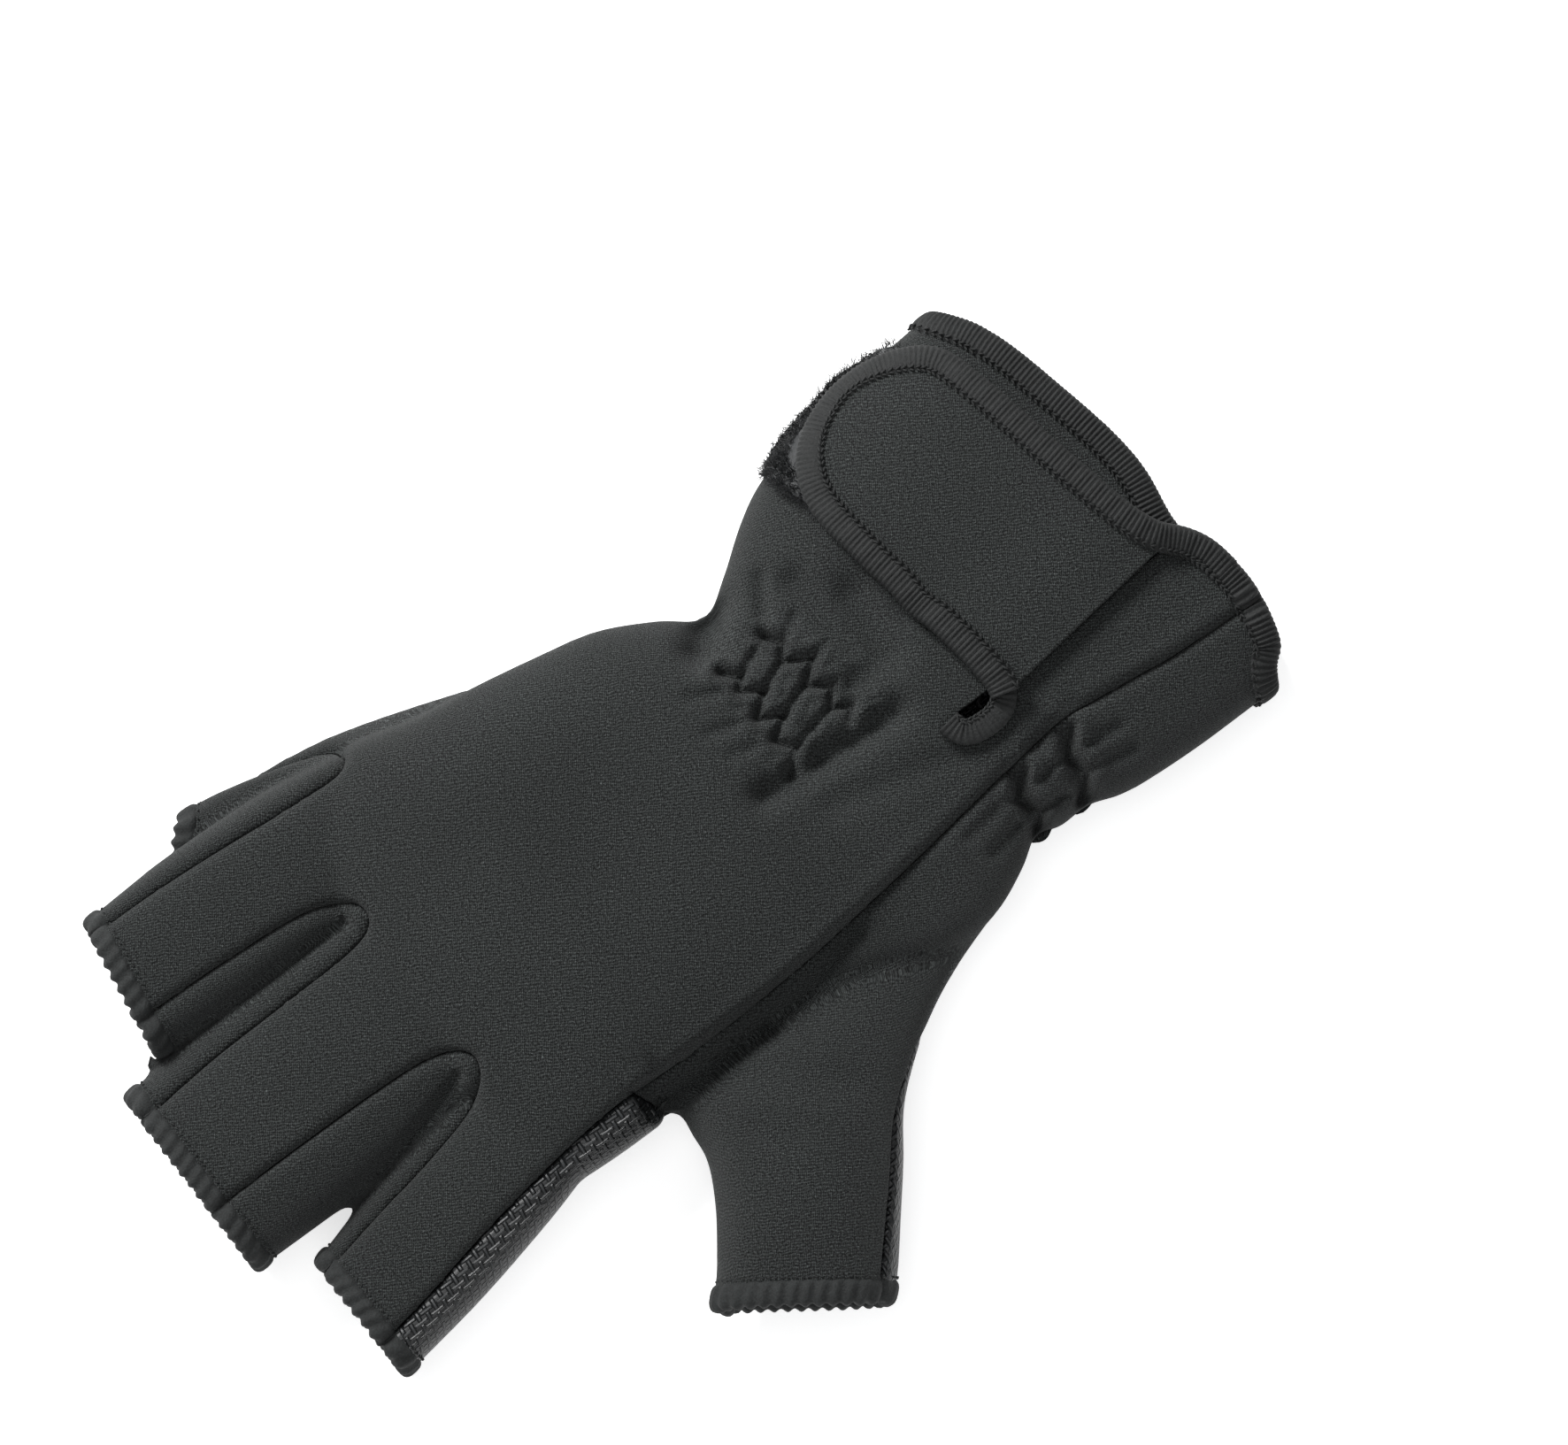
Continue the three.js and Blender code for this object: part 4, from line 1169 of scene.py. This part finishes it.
class GLOVE_OT_cuff_tape(bpy.types.Operator):
    """Binds the open end of the cuff with ribbed tape"""
    bl_idname = "glove.cuff_tape"
    bl_label = "Cuff Tape"

    def execute(self, context):
        wide = context.scene.glove_sizes.tape_width / MM
        bm, cord = bmesh.new(), bmesh.new()
        for points, closed in skin["cuff"]:
            path = even_path(points, closed, 0.25, 30)
            up, ahead = frames_along(path[:, :3], path[:, 3:], closed, np.array([0.0, -1.0, 0.0]))
            path = path[:, :3] - up * 1.1
            section = rolled_section(path, closed, wide, 4.0, CUFF_BACK - wide / 2, 1.0, 0.15, 0.05)
            sweep(bm, path, up, ahead, closed, section)
            tape_stitches(cord, path, up, ahead, CUFF_BACK - wide + 0.7, 2.0)
        finish_piece(soft_object("cuff_tape", bm), "rib_tape", "cuff_binding")
        finish_piece(soft_object("cuff_stitches", cord), "rib_tape")
        return {"FINISHED"}


def tape_stitches(bm, path, up, ahead, shift, lift):
    """The cord-like double row of stitches along a tape's inner edge."""
    stitches(bm, path, up, ahead, 1.5, 1.5, 0.5, shift, lift - 0.05, 0.45)
    stitches(bm, path, up, ahead, 1.5, 1.5, 0.5, shift - 0.55, lift - 0.35, -0.45)


class GLOVE_OT_strap(bpy.types.Operator):
    """Lays the closing strap over the slit, with its tape, the slit's binding and the loop pile under it"""
    bl_idname = "glove.strap"
    bl_label = "Strap"

    def execute(self, context):
        wide = context.scene.glove_sizes.tape_width / MM
        strap = soft_object("strap_cloth", strap_sheet())
        solidify = strap.modifiers.new("thickness", "SOLIDIFY")
        solidify.thickness = STRAP_THICK * MM
        solidify.offset = 1
        finish_piece(strap, "jersey", "strap")
        whole = even_path(smooth_line(STRAP_TAPE, 10), False, 0.3, 4)
        corner = np.argmin(np.linalg.norm(whole - np.array(STRAP_TAPE[HOOK_POINTS - 1]), axis=1))
        cord = bmesh.new()
        bm = bmesh.new()
        line = whole[corner - 4:]
        sinks = smoothstep(4.0, -14.0, line[:, 0]) * smoothstep(-106.0, -116.0, line[:, 1])
        path, up, ahead = tape_path(line, STRAP_LIFT + STRAP_THICK / 2 - 3.6 * sinks)
        sweep(bm, path, up, ahead, False, rolled_section(path, False, wide, 3.9, 0, 1.0, 0.15, 0.05))
        tape_stitches(cord, path, up, ahead, 0.8 - wide / 2, 1.95)
        finish_piece(soft_object("strap_tape", bm), "rib_tape", "strap_binding")
        bm = bmesh.new()
        path, up, ahead = tape_path(whole[:corner + 2], 0.9)
        sweep(bm, path, up, ahead, False, rolled_section(path, False, wide - 0.8, 2.6, 0, 1.0, 0.16, 0.05))
        tape_stitches(cord, path, up, ahead, 1.1 - wide / 2, 1.3)
        finish_piece(soft_object("slit_tape", bm), "rib_tape", "slit_binding")
        finish_piece(soft_object("strap_stitches", cord), "rib_tape")
        finish_piece(soft_object("loop_pile", pile_sheet()), "pile", "loop_patch")
        return {"FINISHED"}


def tape_path(line, lift):
    """A line of the plan laid over the cloth, with the directions that a tape there needs."""
    points, normals = on_cloth(line, 0.0, 40)
    up, ahead = frames_along(points, normals, False, np.array([1.0, 0.0, 0.0]))
    inward = np.array([20.0, -84.0, 20.0]) - points
    facing = np.sign((ahead * inward).sum(1))
    ahead = ahead * -np.median(facing)
    return points + up * np.reshape(lift, (-1, 1)), up, ahead


def strap_sheet():
    """The underside of the strap, from its foot to its tip."""
    bm = bmesh.new()
    lay = lay_layer(bm)
    made = bmesh.ops.create_grid(bm, x_segments=90, y_segments=56, size=0.5)["verts"]
    flat = np.array([v.co for v in made])
    u, v = flat[:, 0] + 0.5, flat[:, 1] + 0.5
    top, low = smooth_line(STRAP_TOP, 20), smooth_line(STRAP_LOW, 20)
    at = u * (len(top) - 1)
    column = lambda line, k: np.interp(at, np.arange(len(line)), line[:, k])
    xy = np.stack([column(top, k) * (1 - v) + column(low, k) * v for k in (0, 1)], axis=1)
    points, normals = on_cloth(xy)
    lift = 0.15 + (STRAP_LIFT - 0.15) * smoothstep(0.0, 0.22, u)
    spots = to_frame(points + normals * lift[:, None])
    for vert, spot, where in zip(made, spots, xy):
        vert.co = spot
        vert[lay] = (*where, 0)
    bmesh.ops.remove_doubles(bm, verts=made, dist=1e-6)
    for _ in range(4):
        bmesh.ops.smooth_vert(bm, verts=bm.verts, factor=0.5,
                              use_axis_x=False, use_axis_y=False, use_axis_z=True)
    return bm


def pile_sheet():
    """The loop pile: a thin pad with fuzz standing off it."""
    bm = bmesh.new()
    lay = lay_layer(bm)
    made = bmesh.ops.create_grid(bm, x_segments=150, y_segments=14, size=0.5)["verts"]
    flat = np.array([v.co for v in made])
    outline = smooth_line([*PILE_OUTLINE, PILE_OUTLINE[0]], 10)
    middle = outline.mean(0)
    at = (flat[:, 0] + 0.5) * (len(outline) - 1)
    rim = np.stack([np.interp(at, np.arange(len(outline)), outline[:, k]) for k in (0, 1)], axis=1)
    share = flat[:, 1:2] + 0.5
    xy = middle + (rim - middle) * share
    points, normals = on_cloth(xy)
    edge = smoothstep(1.0, 0.93, share[:, 0])
    for vert, spot, where in zip(made, to_frame(points + normals * (1.25 * edge[:, None] - 0.3)), xy):
        vert.co = spot
        vert[lay] = (*where, 0)
    bmesh.ops.remove_doubles(bm, verts=made, dist=1e-6)
    rng = np.random.default_rng(7)
    count = PILE_HAIRS
    turn = rng.random(count)
    place = np.stack([np.interp(turn * (len(outline) - 1), np.arange(len(outline)), outline[:, k])
                      for k in (0, 1)], axis=1)
    place = middle + (place - middle) * (1.01 - 0.3 * rng.random(count)[:, None])
    points, normals = on_cloth(place, 0.7)
    leans = unit(normals * 0.8 + rng.normal(size=(count, 3)) * 0.75)
    for point, lean, length in zip(points, leans, 0.8 + 1.2 * rng.random(count)):
        turned = Vector(lean).to_track_quat("Z", "Y").to_matrix().to_4x4()
        spot = Matrix.Translation(to_frame(point + lean * length / 2))
        hair = bmesh.ops.create_cone(bm, segments=3, radius1=0.09 * MM, radius2=0.05 * MM, depth=length * MM,
                                     matrix=spot @ turned)["verts"]
        for vert in hair:
            vert[lay] = (*point[:2], 0)
    return bm


class GLOVE_OT_elastic(bpy.types.Operator):
    """Sews the zigzag elastic threads into the wrist"""
    bl_idname = "glove.elastic"
    bl_label = "Zigzag Elastic"

    def execute(self, context):
        bm = bmesh.new()
        for line in ZIGZAGS:
            path = even_path(line, False, 0.25, 1)
            points, normals = on_cloth(path, 0.0, 3)
            up, ahead = frames_along(points, normals, False, np.array([0.0, 1.0, 0.0]))
            sweep(bm, points, up, ahead, False, round_section(points, 0.28))
            stitches(bm, points, up, ahead, 1.1, 1.0, 0.5, 0.0, 0.15, 0.6)
        finish_piece(soft_object("zigzag_threads", bm), "overlock")
        return {"FINISHED"}


class GLOVE_OT_stage(bpy.types.Operator):
    """Lays the floor and sets the lights and the camera"""
    bl_idname = "glove.stage"
    bl_label = "Stage"

    def execute(self, context):
        scene = context.scene
        bm = bmesh.new()
        bmesh.ops.create_grid(bm, x_segments=1, y_segments=1, size=3.0)
        floor = mesh_object("floor", bm)
        paper = plain_material("floor", (0.86, 0.86, 0.86), 0.9)
        shader = paper.node_tree.nodes["Principled BSDF"]
        shader.inputs["Emission Color"].default_value = (1.0, 1.0, 1.0, 1)
        shader.inputs["Emission Strength"].default_value = 0.65
        floor.data.materials.append(paper)
        add_area_light("key", (1.25, 0.1, 1.0), 0.6, 34)
        add_area_light("fill", (-1.1, 0.7, 1.1), 1.2, 5)
        add_area_light("top", (0.1, 0.2, 1.9), 1.2, 6)
        world = bpy.data.worlds.new("studio")
        world.use_nodes = True
        world.node_tree.nodes["Background"].inputs["Color"].default_value = (0.97, 0.985, 1.0, 1)
        world.node_tree.nodes["Background"].inputs["Strength"].default_value = 0.26
        scene.world = world
        scene.view_settings.view_transform = "Standard"
        add_camera(scene)
        return {"FINISHED"}


def add_area_light(name, place, size, power):
    light = bpy.data.lights.new(name, "AREA")
    light.shape = "DISK"
    light.size = size
    light.energy = power
    obj = bpy.data.objects.new(name, light)
    obj.location = place
    obj.rotation_euler = (-Vector(place)).to_track_quat("-Z", "Y").to_euler()
    bpy.context.scene.collection.objects.link(obj)


def add_camera(scene):
    a, e = math.radians(VIEW_AZIMUTH), math.radians(VIEW_ELEVATION)
    back = Vector((math.sin(a) * math.cos(e), -math.cos(a) * math.cos(e), math.sin(e)))
    camera = bpy.data.cameras.new("camera")
    camera.lens = LENS
    camera.sensor_width = SENSOR
    obj = bpy.data.objects.new("camera", camera)
    distance = VIEW_WIDTH * MM * LENS / SENSOR
    obj.location = Vector(to_frame(VIEW_MIDDLE)) + back * distance
    obj.rotation_euler = (-back).to_track_quat("-Z", "Y").to_euler()
    camera.clip_start, camera.clip_end = 0.01, 20
    scene.collection.objects.link(obj)
    scene.camera = obj


class GLOVE_PT_panel(bpy.types.Panel):
    """Lists the steps of the glove"""
    bl_idname = "GLOVE_PT_panel"
    bl_label = "Half-finger Glove"
    bl_space_type = "VIEW_3D"
    bl_region_type = "UI"
    bl_category = "Glove"

    def draw(self, context):
        for settings in (context.scene.glove_sizes, context.scene.glove_colours):
            for name in settings.__annotations__:
                self.layout.prop(settings, name)
        for step in STEPS:
            self.layout.operator(step.bl_idname)

STEPS = (GLOVE_OT_panels, GLOVE_OT_hems, GLOVE_OT_cuff_tape, GLOVE_OT_strap, GLOVE_OT_elastic, GLOVE_OT_stage)
CLASSES = (GloveSizes, GloveColours, *STEPS, GLOVE_PT_panel)


def register():
    for cls in CLASSES:
        bpy.utils.register_class(cls)
    bpy.types.Scene.glove_sizes = bpy.props.PointerProperty(type=GloveSizes)
    bpy.types.Scene.glove_colours = bpy.props.PointerProperty(type=GloveColours)


def unregister():
    del bpy.types.Scene.glove_colours
    del bpy.types.Scene.glove_sizes
    for cls in reversed(CLASSES):
        bpy.utils.unregister_class(cls)


def main():
    register()
    bpy.ops.glove.stage()
    bpy.ops.glove.panels()
    bpy.ops.glove.hems()
    bpy.ops.glove.cuff_tape()
    bpy.ops.glove.strap()
    bpy.ops.glove.elastic()


if __name__ == "__main__":
    main()
